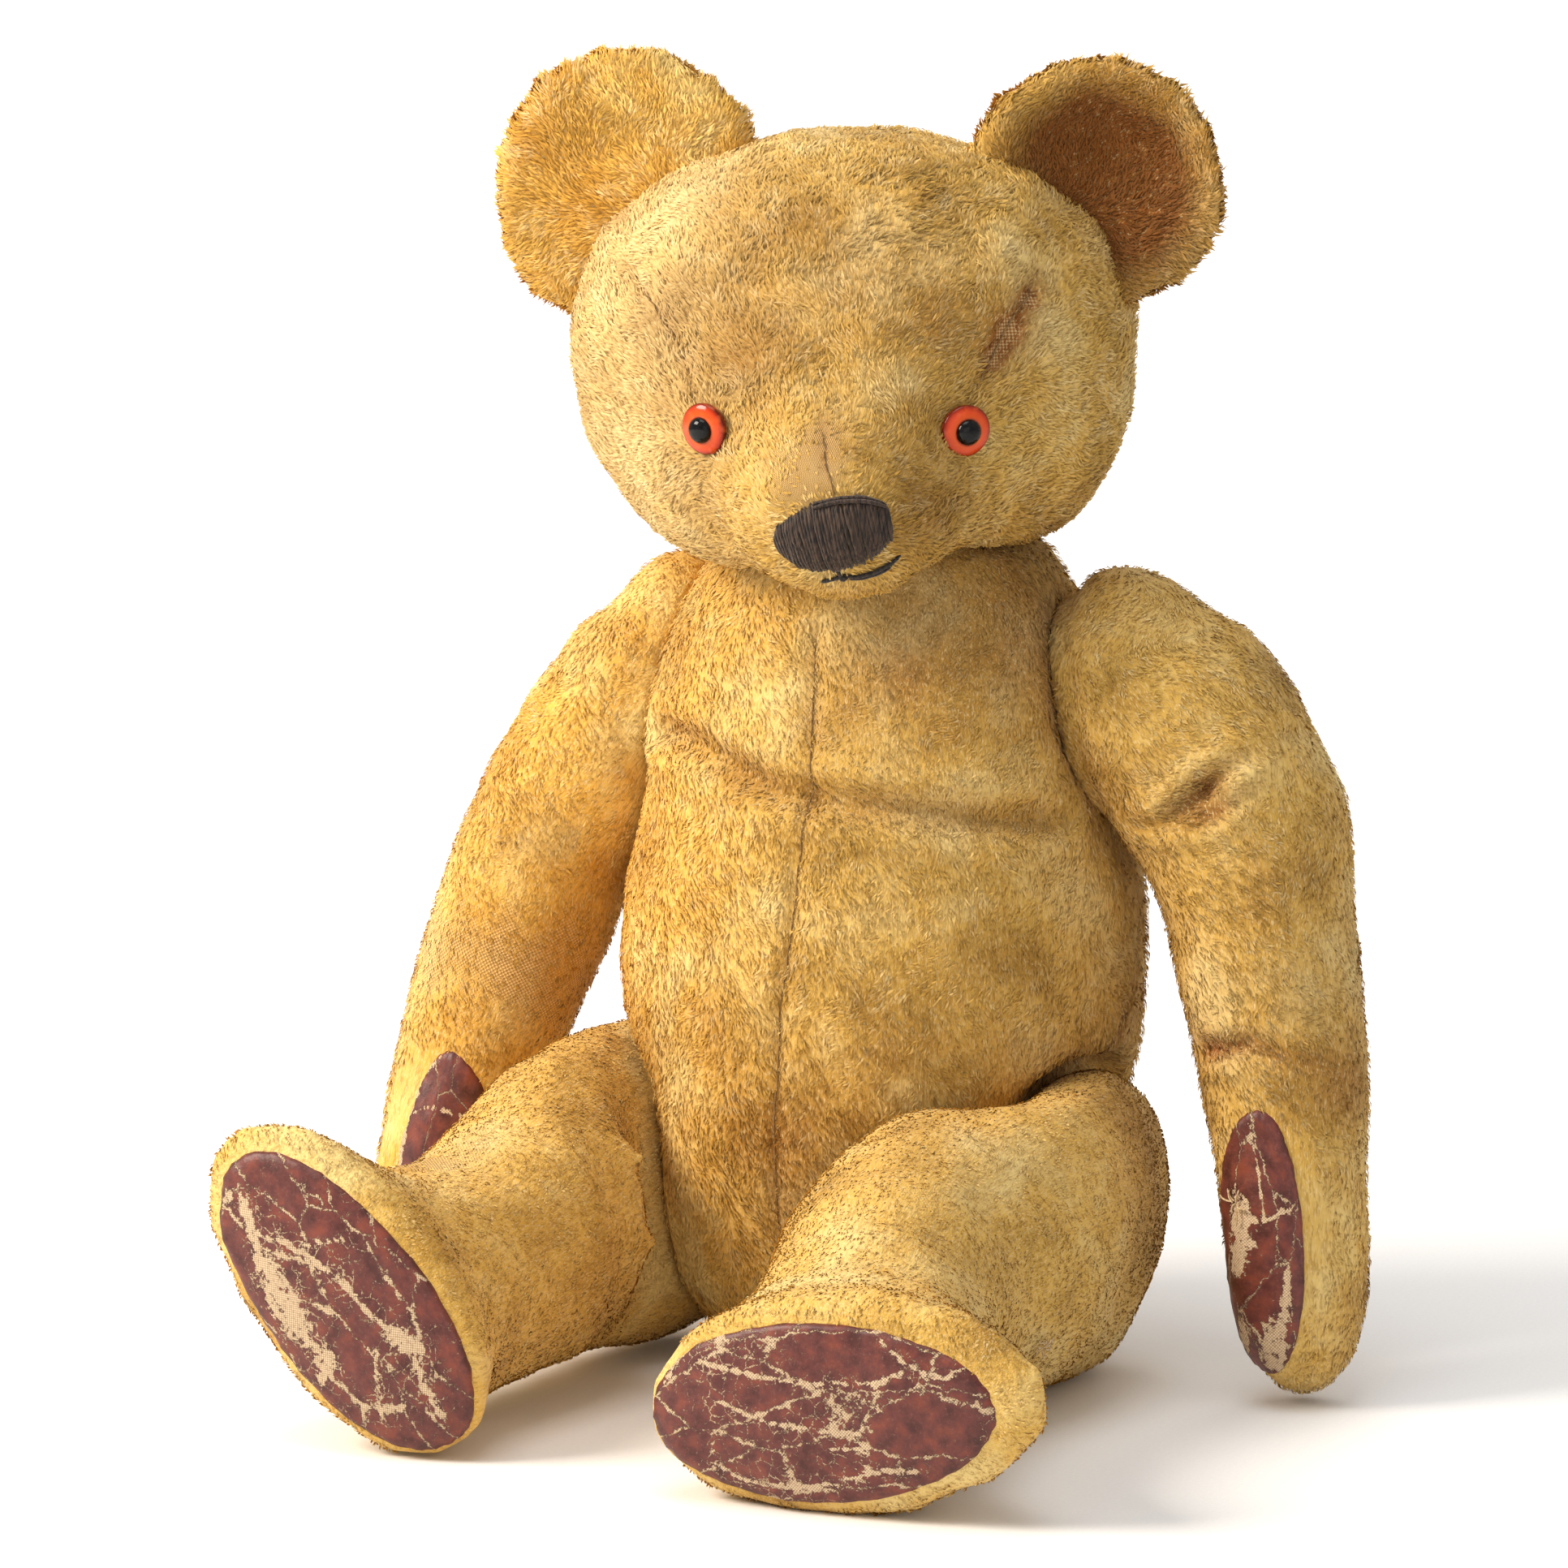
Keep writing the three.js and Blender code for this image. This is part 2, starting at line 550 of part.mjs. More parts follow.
/** A leg with its foot pad let into the sole. */
function leg(side, { toe, spine, rows }) {
  const form = stuffedForm({ ...LEG, spine, rows });
  const { cover, filling } = stuffedPart({
    form,
    joints: [partEnd(hipOf(side))],
    flats: [GROUND],
    beside: besideTorso,
  });
  const [heel, sole] = spine.slice(-2).map(vec);
  const out = sole.clone().sub(heel).normalize();
  const toeWay = new THREE.Vector3(Math.sin(degrees(toe)), 0, Math.cos(degrees(toe)));
  const middle = rows[rows.length - 1][4] - FOOT_PAD.inset;
  const at = sole.addScaledVector(toeWay, middle).addScaledVector(out, -FOOT_PAD.deep).toArray();
  const within = { at, out: out.toArray(), side: toeWay.toArray(), length: REACH };
  return { filling, ...inlaid(cover, { ...within, long: FOOT_PAD.long, wide: FOOT_PAD.wide }) };
}

// ---- assembly -----------------------------------------------------------------------------------------------

const pieces = [
  ['torso_cover', torso.cover, 'plush'],
  ['torso_stuffing', torso.filling, 'stuffing'],
  ['head_cover', headParts.cover, 'plush'],
  ['head_stuffing', headParts.filling, 'stuffing'],
  ['nose_stitching', nose, 'thread'],
  ['mouth_stitching', mouth, 'thread'],
  ...jointHardware('neck', NECK),
];

for (const [name, side] of [['left', 1], ['right', -1]]) {
  const paw = arm(side, ARM_LAYS[name], PAW_PAD.inward[name]);
  const foot = leg(side, LEG_LAYS[name]);
  pieces.push(
    [`ear_${name}`, ear(side, EAR_SET[name]), 'plush'],
    [`eye_${name}_iris`, eyes[name].iris, 'amber'],
    [`eye_${name}_pupil`, eyes[name].pupil, 'black'],
    [`eye_${name}_lock_washer`, eyes[name].washer, 'steel'],
    [`arm_${name}_cover`, paw.cover, 'plush'],
    [`arm_${name}_stuffing`, paw.filling, 'stuffing'],
    [`paw_${name}_pad`, paw.pad, 'oilcloth'],
    [`leg_${name}_cover`, foot.cover, 'plush'],
    [`leg_${name}_stuffing`, foot.filling, 'stuffing'],
    [`foot_${name}_pad`, foot.pad, 'oilcloth'],
    ...jointHardware(`shoulder_${name}`, shoulderOf(side)),
    ...jointHardware(`hip_${name}`, hipOf(side)),
  );
}

const group = new THREE.Group();
for (const [name, body, finish] of pieces) {
  const [color, roughness] = COLOURS[finish];
  const material = new THREE.MeshStandardMaterial({ color, roughness, metalness: finish === 'steel' ? 1 : 0 });
  const mesh = new THREE.Mesh(geometryOf(body), material);
  mesh.name = name;
  group.add(mesh);
}

export default group;
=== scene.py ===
import itertools
import json
import math

import bmesh
import bpy
import numpy as np
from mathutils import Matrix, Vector
from mathutils.bvhtree import BVHTree

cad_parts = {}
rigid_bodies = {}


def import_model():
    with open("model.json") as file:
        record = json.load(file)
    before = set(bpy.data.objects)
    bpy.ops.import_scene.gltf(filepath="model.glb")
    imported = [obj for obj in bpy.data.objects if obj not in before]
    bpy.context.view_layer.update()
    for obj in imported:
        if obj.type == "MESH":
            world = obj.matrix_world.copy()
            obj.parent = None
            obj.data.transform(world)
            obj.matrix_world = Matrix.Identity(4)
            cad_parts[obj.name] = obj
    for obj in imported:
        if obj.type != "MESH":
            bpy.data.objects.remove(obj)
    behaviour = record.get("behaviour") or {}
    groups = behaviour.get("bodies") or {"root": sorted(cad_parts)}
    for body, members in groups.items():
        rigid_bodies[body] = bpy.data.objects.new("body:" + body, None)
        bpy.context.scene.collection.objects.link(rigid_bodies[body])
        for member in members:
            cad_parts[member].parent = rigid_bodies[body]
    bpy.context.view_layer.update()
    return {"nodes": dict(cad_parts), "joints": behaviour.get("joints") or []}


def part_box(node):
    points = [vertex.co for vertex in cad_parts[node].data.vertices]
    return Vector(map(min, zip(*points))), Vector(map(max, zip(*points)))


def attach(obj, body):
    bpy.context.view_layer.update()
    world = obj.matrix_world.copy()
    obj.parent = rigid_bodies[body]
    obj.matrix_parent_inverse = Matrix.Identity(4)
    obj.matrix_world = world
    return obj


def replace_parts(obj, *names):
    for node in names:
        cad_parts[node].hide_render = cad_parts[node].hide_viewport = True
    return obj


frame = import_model()
scene = bpy.context.scene

MM = 0.001
SIDES = {"left": 1, "right": -1}

# ---- measures

VOXEL = 4.0 * MM
PILE_ROOM = 2.2 * MM  # how far a skin starts inside its CAD shape, as room for the stuffing's push and the pile
SWELL = 2.2 * MM  # the most that stuffing pushes a skin out
SOLE_SPREAD = 3.6 * MM  # how far a foot's cloth spreads round its sole
FLAT_GAP = 0.3 * MM  # between a skin and the plane of a joint
FINE_THREAD = 0.26 * MM  # a sewing thread's radius
PAD_GRID = 28, 120  # a pad's rings from its middle out, and the points round each

HEAD_MIDDLE = np.array([-5, -12, 299.5]) * MM
HEAD_TURN, HEAD_NOD = math.radians(16), math.radians(24)
NOSE_TIP = 98 * MM  # how far the muzzle's end lies in front of the head's middle

# the line that each limb's pile runs along, from the joint to the paw or sole
LIMB_LINES = {
    "arm_left": [[76, 0, 238], [75, 0, 212], [93, -1, 190], [111, -3, 170], [118, -5, 150], [127, -11, 108],
                 [131, -14, 85], [136, -19, 45], [140, -22, 0]],
    "arm_right": [[-60, 0, 238], [-63, 0, 212], [-79, 0, 190], [-97, -1, 168], [-109, -2, 148], [-121, -7, 112],
                  [-126, -9, 95], [-133, -15, 68], [-139, -23, 35], [-141, -28, 0]],
    "leg_left": [[63, 36, 46], [66, -12, 46], [48, -77, 47], [46, -115, 41], [49, -160, 31], [49, -209, 27]],
    "leg_right": [[-63, 36, 49], [-66, -12, 51], [-72, -70, 50], [-78, -110, 43], [-81, -150, 37], [-80, -194, 35]],
}

# ---- numbers


def unit(rows):
    """Rows of vectors scaled to length 1."""
    return rows / np.maximum(np.linalg.norm(rows, axis=-1, keepdims=True), 1e-12)


def chance(cells, seed):
    """A random number from 0 to 1 for each whole-number cell, mixed from its three numbers by products and shifts."""
    n = cells.astype(np.int64)
    h = (n[..., 0] * 73856093) ^ (n[..., 1] * 19349663) ^ (n[..., 2] * 83492791) ^ (seed * 2654435761)
    h = ((h ^ (h >> 15)) * 2246822519) & 0xFFFFFFFF
    h = ((h ^ (h >> 13)) * 3266489917) & 0xFFFFFFFF
    return ((h ^ (h >> 16)) & 0xFFFFFF) / 0xFFFFFF


def cloud(places, size, seed, octaves=2):
    """Smooth noise from 0 to 1: random values at the corners of cells of a size, blended by smoothed shares, with
    each further octave at half the size and weight."""
    total, weight = 0.0, 0.0
    for k in range(octaves):
        at = places / (size / 2**k)
        low = np.floor(at)
        t = at - low
        t = t * t * (3 - 2 * t)
        for corner in itertools.product((0, 1), repeat=3):
            share = np.where(np.array(corner), t, 1 - t).prod(axis=-1)
            total = total + share * chance(low + np.array(corner), seed + 17 * k) * 0.5**k
        weight += 0.5**k
    return total / weight


def ramp(values, low, high):
    """0 below low, 1 above high, and a smooth step between."""
    t = np.clip((values - low) / (high - low), 0, 1)
    return t * t * (3 - 2 * t)


def bell(values):
    """1 at zero, and falling smoothly away on both sides."""
    return np.exp(-(values**2))


def length_of(rows):
    return np.linalg.norm(rows, axis=-1)


def metres(rows):
    """Rows of millimetres as metres."""
    return np.array(rows, float) * MM


def beside(points, path):
    """Each point's distance from a line of straight stretches, the nearest place on it, how far along that lies, and
    the line's direction there."""
    path = np.asarray(path, float)
    starts, spans = path[:-1], np.diff(path, axis=0)
    lengths = length_of(spans)
    before = np.concatenate([[0], np.cumsum(lengths)[:-1]])
    rel = points[:, None] - starts
    t = np.clip((rel * spans).sum(-1) / lengths**2, 0, 1)
    near = starts + t[..., None] * spans
    gap = length_of(points[:, None] - near)
    best = gap.argmin(1)
    rows = np.arange(len(points))
    return gap[rows, best], near[rows, best], before[best] + t[rows, best] * lengths[best], unit(spans)[best]


def head_way(left, forward, up):
    """A direction given from the head: to its left, forwards and up, turned by its nod and then its turn."""
    x, y, z = left, -forward, up
    y, z = y * math.cos(HEAD_NOD) - z * math.sin(HEAD_NOD), y * math.sin(HEAD_NOD) + z * math.cos(HEAD_NOD)
    x, y = x * math.cos(HEAD_TURN) - y * math.sin(HEAD_TURN), x * math.sin(HEAD_TURN) + y * math.cos(HEAD_TURN)
    return np.array([x, y, z])


LEFT, FORWARD, UPWARD = head_way(1, 0, 0), head_way(0, 1, 0), head_way(0, 0, 1)


# ---- meshes


def rows_of(items, key, kind=np.float32, width=3):
    """One property of all of a mesh's items, a row for each."""
    found = np.empty(len(items) * width, kind)
    items.foreach_get(key, found)
    return found.reshape(-1, width)


def places_of(mesh):
    return rows_of(mesh.vertices, "co").astype(float)


def normals_of(mesh):
    return rows_of(mesh.vertex_normals, "vector").astype(float)


def edges_of(mesh):
    return rows_of(mesh.edges, "vertices", np.int32, 2)


def corners_of(mesh):
    mesh.calc_loop_triangles()
    return rows_of(mesh.loop_triangles, "vertices", np.int32)


def put(mesh, places):
    mesh.vertices.foreach_set("co", np.asarray(places, np.float32).ravel())
    mesh.update()


def store(mesh, name, values):
    """Keeps one number or one vector for each vertex under a name that materials read."""
    values = np.asarray(values, np.float32)
    kind, key = ("FLOAT_VECTOR", "vector") if values.ndim == 2 else ("FLOAT", "value")
    mesh.attributes.new(name, kind, "POINT").data.foreach_set(key, values.ravel())


def mesh_of(name, places, faces):
    """A mesh from rows of places and rows of faces that all have as many corners."""
    places, faces = np.asarray(places, np.float32), np.asarray(faces, np.int32)
    mesh = bpy.data.meshes.new(name)
    mesh.vertices.add(len(places))
    mesh.vertices.foreach_set("co", places.ravel())
    mesh.loops.add(faces.size)
    mesh.loops.foreach_set("vertex_index", faces.ravel())
    mesh.polygons.add(len(faces))
    mesh.polygons.foreach_set("loop_start", np.arange(0, faces.size, faces.shape[1], dtype=np.int32))
    mesh.update(calc_edges=True)
    mesh.polygons.foreach_set("use_smooth", np.ones(len(faces), bool))
    return mesh


def stacked(meshes):
    """The places and faces of several meshes as those of one."""
    before = np.cumsum([0, *(len(places) for places, _ in meshes)])
    faces = [faces + start for (_, faces), start in zip(meshes, before)]
    return np.concatenate([places for places, _ in meshes]), np.concatenate(faces)


def piece(name, mesh, material, body):
    """Puts a mesh in the scene as a piece that rides on a body and takes a slot's finish."""
    mesh.name = name
    mesh.materials.clear()
    mesh.materials.append(material)
    made = bpy.data.objects.new(name, mesh)
    scene.collection.objects.link(made)
    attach(made, body)
    return made


def grid_faces(rows, columns, closed=True):
    """The quads of a grid of vertices, row by row; a closed one joins its last column to its first."""
    across = columns if closed else columns - 1
    r, c = np.meshgrid(np.arange(rows - 1), np.arange(across), indexing="ij")
    after = (c + 1) % columns
    return np.stack([r * columns + c, r * columns + after, (r + 1) * columns + after, (r + 1) * columns + c], -1
                    ).reshape(-1, 4)


def with_modifier(mesh, kind, **settings):
    """A new mesh: this one as a modifier leaves it."""
    holder = bpy.data.objects.new("holder", mesh)
    scene.collection.objects.link(holder)
    modifier = holder.modifiers.new("work", kind)
    for key, value in settings.items():
        setattr(modifier, key, value)
    made = bpy.data.meshes.new_from_object(holder.evaluated_get(bpy.context.evaluated_depsgraph_get()))
    bpy.data.objects.remove(holder)
    return made


def drawn_in(places, edges, shares):
    """Each vertex moved a share of the way to the mean of its neighbours, once for each of the shares."""
    ends = np.concatenate([edges, edges[:, ::-1]])
    count = np.bincount(ends[:, 0], minlength=len(places))[:, None]
    for share in shares:
        total = np.stack([np.bincount(ends[:, 0], places[ends[:, 1], k], len(places)) for k in range(3)], 1)
        places = places + share * (total / count - places)
    return places


def relaxed(mesh, times):
    """A mesh's places smoothed without shrinking: in to the neighbours' mean and nearly as far back, many times."""
    return drawn_in(places_of(mesh), edges_of(mesh), [0.5, -0.52] * times)


def edited(mesh, change):
    """Puts a mesh through a change that works on its editable form."""
    work = bmesh.new()
    work.from_mesh(mesh)
    change(work)
    work.to_mesh(mesh)
    work.free()


def tree_of_skin(part, made={}):
    """The search tree of a part's skin, made once."""
    if part not in made:
        mesh = skins[part].data
        made[part] = BVHTree.FromPolygons(places_of(mesh).tolist(), corners_of(mesh).tolist())
    return made[part]


def nearest(part, places):
    """The nearest place on a part's skin to each place, the skin's normal there, and how far off it is."""
    found = [tree_of_skin(part).find_nearest(Vector(place)) for place in places]
    return (np.array([row[k] for row in found]) for k in (0, 1, 3))


# ---- materials


def linear(code):
    """An sRGB hex colour as a linear one."""
    parts = [int(code[k:k + 2], 16) / 255 for k in (1, 3, 5)]
    return (*[p / 12.92 if p <= 0.04045 else ((p + 0.055) / 1.055) ** 2.4 for p in parts], 1)


def add(kind, inputs=(), output=0, **settings):
    """Adds a node to the newest material and gives one of its outputs. Settings are its own; inputs are pairs of a
    socket and a value, a hex colour or the output that feeds it."""
    tree = newest.node_tree
    made = tree.nodes.new("ShaderNode" + kind)
    for key, value in settings.items():
        setattr(made, key, value)
    for socket, value in dict(inputs).items():
        if isinstance(value, bpy.types.NodeSocket):
            tree.links.new(value, made.inputs[socket])
        else:
            made.inputs[socket].default_value = linear(value) if isinstance(value, str) else value
    return made.outputs[output]


def colours(share, stops):
    """A colour ramp with stops of place and hex colour."""
    made = add("ValToRGB", {"Fac": share}).node
    for k, (place, code) in enumerate(stops):
        stop = made.color_ramp.elements[k] if k < 2 else made.color_ramp.elements.new(place)
        stop.position, stop.color = place, linear(code)
    return made.outputs["Color"]


def blended(share, first, second):
    """Two colours mixed by a share."""
    return add("Mix", {0: share, 6: first, 7: second}, 2, data_type="RGBA")


def sums(operation, *values):
    """The result of a Math node."""
    return add("Math", dict(enumerate(values)), operation=operation)


def ranged(value, low, high, to_low=0.0, to_high=1.0):
    """A value spread smoothly from one range to another."""
    ends = {"Value": value, "From Min": low, "From Max": high, "To Min": to_low, "To Max": to_high}
    return add("MapRange", ends, "Result", interpolation_type="SMOOTHSTEP")


def read(name, output="Fac"):
    """What a mesh keeps for each vertex under a name."""
    return add("Attribute", output=output, attribute_name=name)


def here():
    """The place on the object itself, in metres."""
    return add("TexCoord", output="Object")


def woven(at, pitch):
    """A plain weave's threads at a pitch in millimetres: one wave across and one along, multiplied."""
    ways = add("SeparateXYZ", {0: at}).node.outputs
    return sums("MULTIPLY", *(sums("SINE", sums("MULTIPLY", ways[way], 2 * math.pi / pitch)) for way in "XY"))


def material(name, roughness, **shader):
    """Starts a new material. Shader settings go straight on the sockets."""
    global newest
    newest = bpy.data.materials.new(name)
    newest.use_nodes = True
    for key, value in (shader | {"Roughness": roughness}).items():
        newest.node_tree.nodes["Principled BSDF"].inputs[key.replace("_", " ")].default_value = value


def feed(colour, height=None, bump=0.3, roughness=None):
    """Links a colour, a height in millimetres and a roughness to the newest material, and gives the material."""
    raised = {"Height": height, "Strength": bump, "Distance": MM}
    normal = None if height is None else add("Bump", raised, "Normal")
    for socket, value in (("Base Color", colour), ("Normal", normal), ("Roughness", roughness)):
        if value is not None:
            newest.node_tree.links.new(value, newest.node_tree.nodes["Principled BSDF"].inputs[socket])
    return newest


def plush_tint(with_stain_and_shade=True):
    """The mohair's colour: straw to honey to olive brown in patches; golden where it has faded least; on the bear's
    right side, where the key light falls, more golden on the torso and paler on the head as painted light; and orange
    brown where it is stained, a colour that also paints shade into creases, seams and the left ear's hollow."""
    patches = add("TexNoise", {"Vector": here(), "Scale": 30, "Detail": 3, "Roughness": 0.55}, "Fac")
    greyed = colours(patches, [(0.3, "#B0873C"), (0.5, "#D9AF58"), (0.68, "#E8CB84")])
    golden = colours(patches, [(0.3, "#D69C3C"), (0.5, "#EAB754"), (0.68, "#F4D484")])
    tint = blended(read("gold_and_light"), greyed, golden)
    # painted light: paler cream on the head's key-lit right side
    tint = blended(ranged(read("gold_and_light"), 0.0, -1.0), tint, "#E6CFA2")
    # orange brown where stained, and as painted shade in creases, seams and the left ear's hollow
    return blended(read("stain_and_shade"), tint, "#8A4E1C") if with_stain_and_shade else tint


def plush_backing():
    """Worn mohair plush seen down to its roots: short felted fibre streaked along the pile's lie, and a woven cotton
    backing that shows as a fine grid where the pile is gone."""
    material("worn_mohair_backing", 0.9, Sheen_Weight=0.1, Sheen_Roughness=0.5, Specular_IOR_Level=0.1)
    lie = read("lie", "Vector")  # millimetres, with the last one along the pile
    streaked = add("Mapping", {"Vector": lie, "Scale": (1.0, 1.0, 0.28)}, "Vector")
    flecks = add("TexNoise", {"Vector": streaked, "Scale": 0.75, "Detail": 3, "Roughness": 0.6}, "Fac")
    fine = add("TexNoise", {"Vector": streaked, "Scale": 2.2, "Detail": 2}, "Fac")
    tint = plush_tint()
    shadowed = blended(ranged(flecks, 0.52, 0.36, 0, 0.5), tint, "#A07636")
    pile = blended(ranged(fine, 0.5, 0.72, 0, 0.6), shadowed, "#EBCF98")
    # backing threads 1.3 mm apart, a little coarser than real so that they show
    threads = ranged(woven(read("weave", "Vector"), 1.3), -0.7, 0.6)
    cotton = blended(threads, "#9A6A34", "#E6C088")
    bare = ranged(sums("ADD", read("wear"), sums("MULTIPLY", fine, 0.35)), 0.72, 0.98)
    colour = blended(bare, pile, blended(0.35, cotton, tint))
    height = blended(bare, flecks, sums("MULTIPLY", threads, 0.5))
    return feed(colour, height, 0.8)


def mohair():
    """Mohair hairs: silky, straw coloured at the tip and darker at the root, dulled by age."""
    material("aged_mohair_hair", 0.7, Specular_IOR_Level=0.15)
    tint = plush_tint(with_stain_and_shade=False)
    rooted = blended(ranged(read("tip"), 0.0, 0.7, 0.6, 0.0), tint, "#9A6C2E")
    lit = blended(ranged(read("tone"), 0.4, 1.0, 0.0, 0.6), rooted, "#F3DCA6")
    dark = blended(ranged(read("tone"), 0.42, 0.0, 0.0, 0.5), lit, "#9A6E30")
    # darker orange brown where stained, and as painted shade in creases, seams and the left ear's hollow
    return feed(blended(sums("MULTIPLY", read("stain_and_shade"), 0.95), dark, "#7A4418"))


def oilcloth():
    """Maroon oilcloth: a shiny coating on cream cotton, crazed into islands and flaked off along the cracks."""
    material("crazed_maroon_oilcloth", 0.45, Coat_Roughness=0.3, Specular_IOR_Level=0.4)
    cut = read("cut", "Vector")  # millimetres on the pad, with the first along it
    flake = read("flake")
    drift = add("TexNoise", {"Vector": cut, "Scale": 0.22, "Detail": 6, "Roughness": 0.66}, "Color")
    swing = add("VectorMath", {0: drift, "Scale": 4.5}, operation="SCALE")
    bent = add("VectorMath", {0: cut, 1: swing}, operation="ADD")
    long = add("Mapping", {"Vector": bent, "Scale": (0.4, 1.0, 1.0)}, "Vector")
    wide = add("TexVoronoi", {"Vector": long, "Scale": 0.07}, "Distance", feature="DISTANCE_TO_EDGE")
    small = add("TexVoronoi", {"Vector": bent, "Scale": 0.27}, "Distance", feature="DISTANCE_TO_EDGE")
    specks = add("TexNoise", {"Vector": cut, "Scale": 0.9, "Detail": 4, "Roughness": 0.7}, "Fac")
    ragged = sums("MULTIPLY", sums("SUBTRACT", specks, 0.5), 0.34)
    torn = add("TexNoise", {"Vector": cut, "Scale": 0.42, "Detail": 5, "Roughness": 0.7}, "Fac")
    torn = sums("MULTIPLY", sums("SUBTRACT", torn, 0.55), 2.6)
    # the main cracks are hairlines where the coating is sound and a millimetre or two wide where it is flaking
    patchy = add("TexNoise", {"Vector": cut, "Scale": 0.17, "Detail": 2}, "Fac")
    reach = sums("MULTIPLY", sums("POWER", flake, 1.6), ranged(patchy, 0.42, 0.62, 0.0, 0.075))
    opened = sums("SUBTRACT", sums("ADD", wide, sums("MULTIPLY", ragged, flake)), reach)
    crack = ranged(opened, 0.012, -0.004)
    shard = sums("MULTIPLY", sums("SUBTRACT", flake, 0.5), 0.1)
    craze = ranged(sums("SUBTRACT", sums("ADD", small, ragged), shard), 0.01, -0.01)
    craze = sums("MULTIPLY", craze, ranged(sums("ADD", flake, patchy), 0.98, 1.12))
    peeled = ranged(sums("ADD", read("bare"), torn), 0.5, 0.58)
    pinholes = sums("MULTIPLY", ranged(specks, 0.66, 0.7), ranged(flake, 0.25, 0.6))
    flaked = sums("MAXIMUM", sums("MAXIMUM", crack, craze), sums("MAXIMUM", peeled, pinholes))
    faded = add("TexNoise", {"Vector": cut, "Scale": 0.16, "Detail": 5, "Roughness": 0.6}, "Fac")
    coat = colours(faded, [(0.35, "#4A211C"), (0.5, "#63302A"), (0.66, "#7E3C2C")])
    coat = blended(ranged(specks, 0.52, 0.7, 0, 0.3), coat, "#8E6052")
    threads = ranged(woven(cut, 0.9), -0.8, 0.8)
    cotton = blended(threads, "#A88868", "#DCC4A2")
    cotton = blended(ranged(specks, 0.5, 0.36, 0, 0.5), cotton, "#8E6A4C")
    height = sums("ADD", sums("MULTIPLY", flaked, -0.5), sums("MULTIPLY", specks, 0.15))
    return feed(blended(flaked, coat, cotton), height, 0.9, ranged(flaked, 0, 1, 0.4, 0.9))


def stranded(name, dark, light, roughness=0.6):
    """Stranded cotton: fine strands side by side that catch the light in lines."""
    material(name, roughness, Sheen_Weight=0.2, Specular_IOR_Level=0.3)
    along = add("Mapping", {"Vector": here(), "Scale": (1500, 1500, 260)}, "Vector")
    strands = add("TexNoise", {"Vector": along, "Scale": 1.0, "Detail": 2}, "Fac")
    return feed(colours(strands, [(0.35, dark), (0.65, light)]), strands, 0.5)


def eye_glass():
    """Orange glass eye: a clear shine over red orange, deeper red towards its rim."""
    material("orange_eye_glass", 0.12, Specular_IOR_Level=0.3, IOR=1.5)
    mottle = add("TexNoise", {"Vector": here(), "Scale": 420, "Detail": 3}, "Fac")
    rings = [(0.0, "#5A1608"), (0.25, "#E0561E"), (0.6, "#D8481A"), (0.8, "#B83412"), (1.0, "#5E160A")]
    return feed(blended(ranged(mottle, 0.45, 0.75, 0, 0.4), colours(read("rim"), rings), "#E86A34"))


def pupil_glass():
    """Black glass, glossy, with the faintest unevenness from age."""
    material("black_eye_glass", 0.1, Specular_IOR_Level=0.25, IOR=1.5)
    haze = add("TexNoise", {"Vector": here(), "Scale": 900, "Detail": 3}, "Fac")
    return feed(colours(haze, [(0.4, "#060606"), (0.8, "#1C1A1A")]), roughness=ranged(haze, 0.3, 0.8, 0.05, 0.16))


def pressed_card():
    """Pressed card: brown, fibrous and matt."""
    material("pressed_card", 0.9, Specular_IOR_Level=0.2)
    fibres = add("TexNoise", {"Vector": here(), "Scale": 700, "Detail": 4}, "Fac")
    return feed(colours(fibres, [(0.35, "#7A5C3A"), (0.65, "#AC8A5E")]), fibres, 0.3)


def plated_steel():
    """Plated steel: grey and brushed, spotted with a little brown rust."""
    material("dull_plated_steel", 0.4, Metallic=1.0)
    drawn = add("Mapping", {"Vector": here(), "Scale": (900, 900, 90)}, "Vector")
    brushed = add("TexNoise", {"Vector": drawn, "Scale": 1.0}, "Fac")
    rust = ranged(add("TexNoise", {"Vector": here(), "Scale": 260, "Detail": 4}, "Fac"), 0.58, 0.7)
    grey = colours(brushed, [(0.3, "#6E6C68"), (0.7, "#A5A29C")])
    return feed(blended(rust, grey, "#6A3E22"), brushed, 0.15)


BACKING, HAIR, OILCLOTH = plush_backing(), mohair(), oilcloth()
NOSE_THREAD = stranded("dark_brown_nose_thread", "#180F0A", "#4C382A")
MOUTH_THREAD = stranded("black_mouth_thread", "#14100E", "#3A302A")
SEAM_THREAD = stranded("straw_seam_thread", "#A88458", "#E2C89C", 0.8)
DARK_SEAM = stranded("shadowed_seam_thread", "#6A4820", "#A07C46", 0.9)

# ---- stuffed skins

SKINS = {"torso": ["torso_cover", "torso_stuffing"], "head": ["head_cover", "head_stuffing"]}
BODY_OF = {"torso": "torso", "head": "head"}
for side in SIDES:
    SKINS[f"arm_{side}"] = [f"arm_{side}_cover", f"arm_{side}_stuffing"]
    SKINS[f"leg_{side}"] = [f"leg_{side}_cover", f"leg_{side}_stuffing"]
    SKINS[f"ear_{side}"] = [f"ear_{side}"]
    BODY_OF |= {f"arm_{side}": f"arm_{side}", f"leg_{side}": f"leg_{side}", f"ear_{side}": "head"}
PADS = {f"arm_{side}": f"paw_{side}_pad" for side in SIDES} | {f"leg_{side}": f"foot_{side}_pad" for side in SIDES}


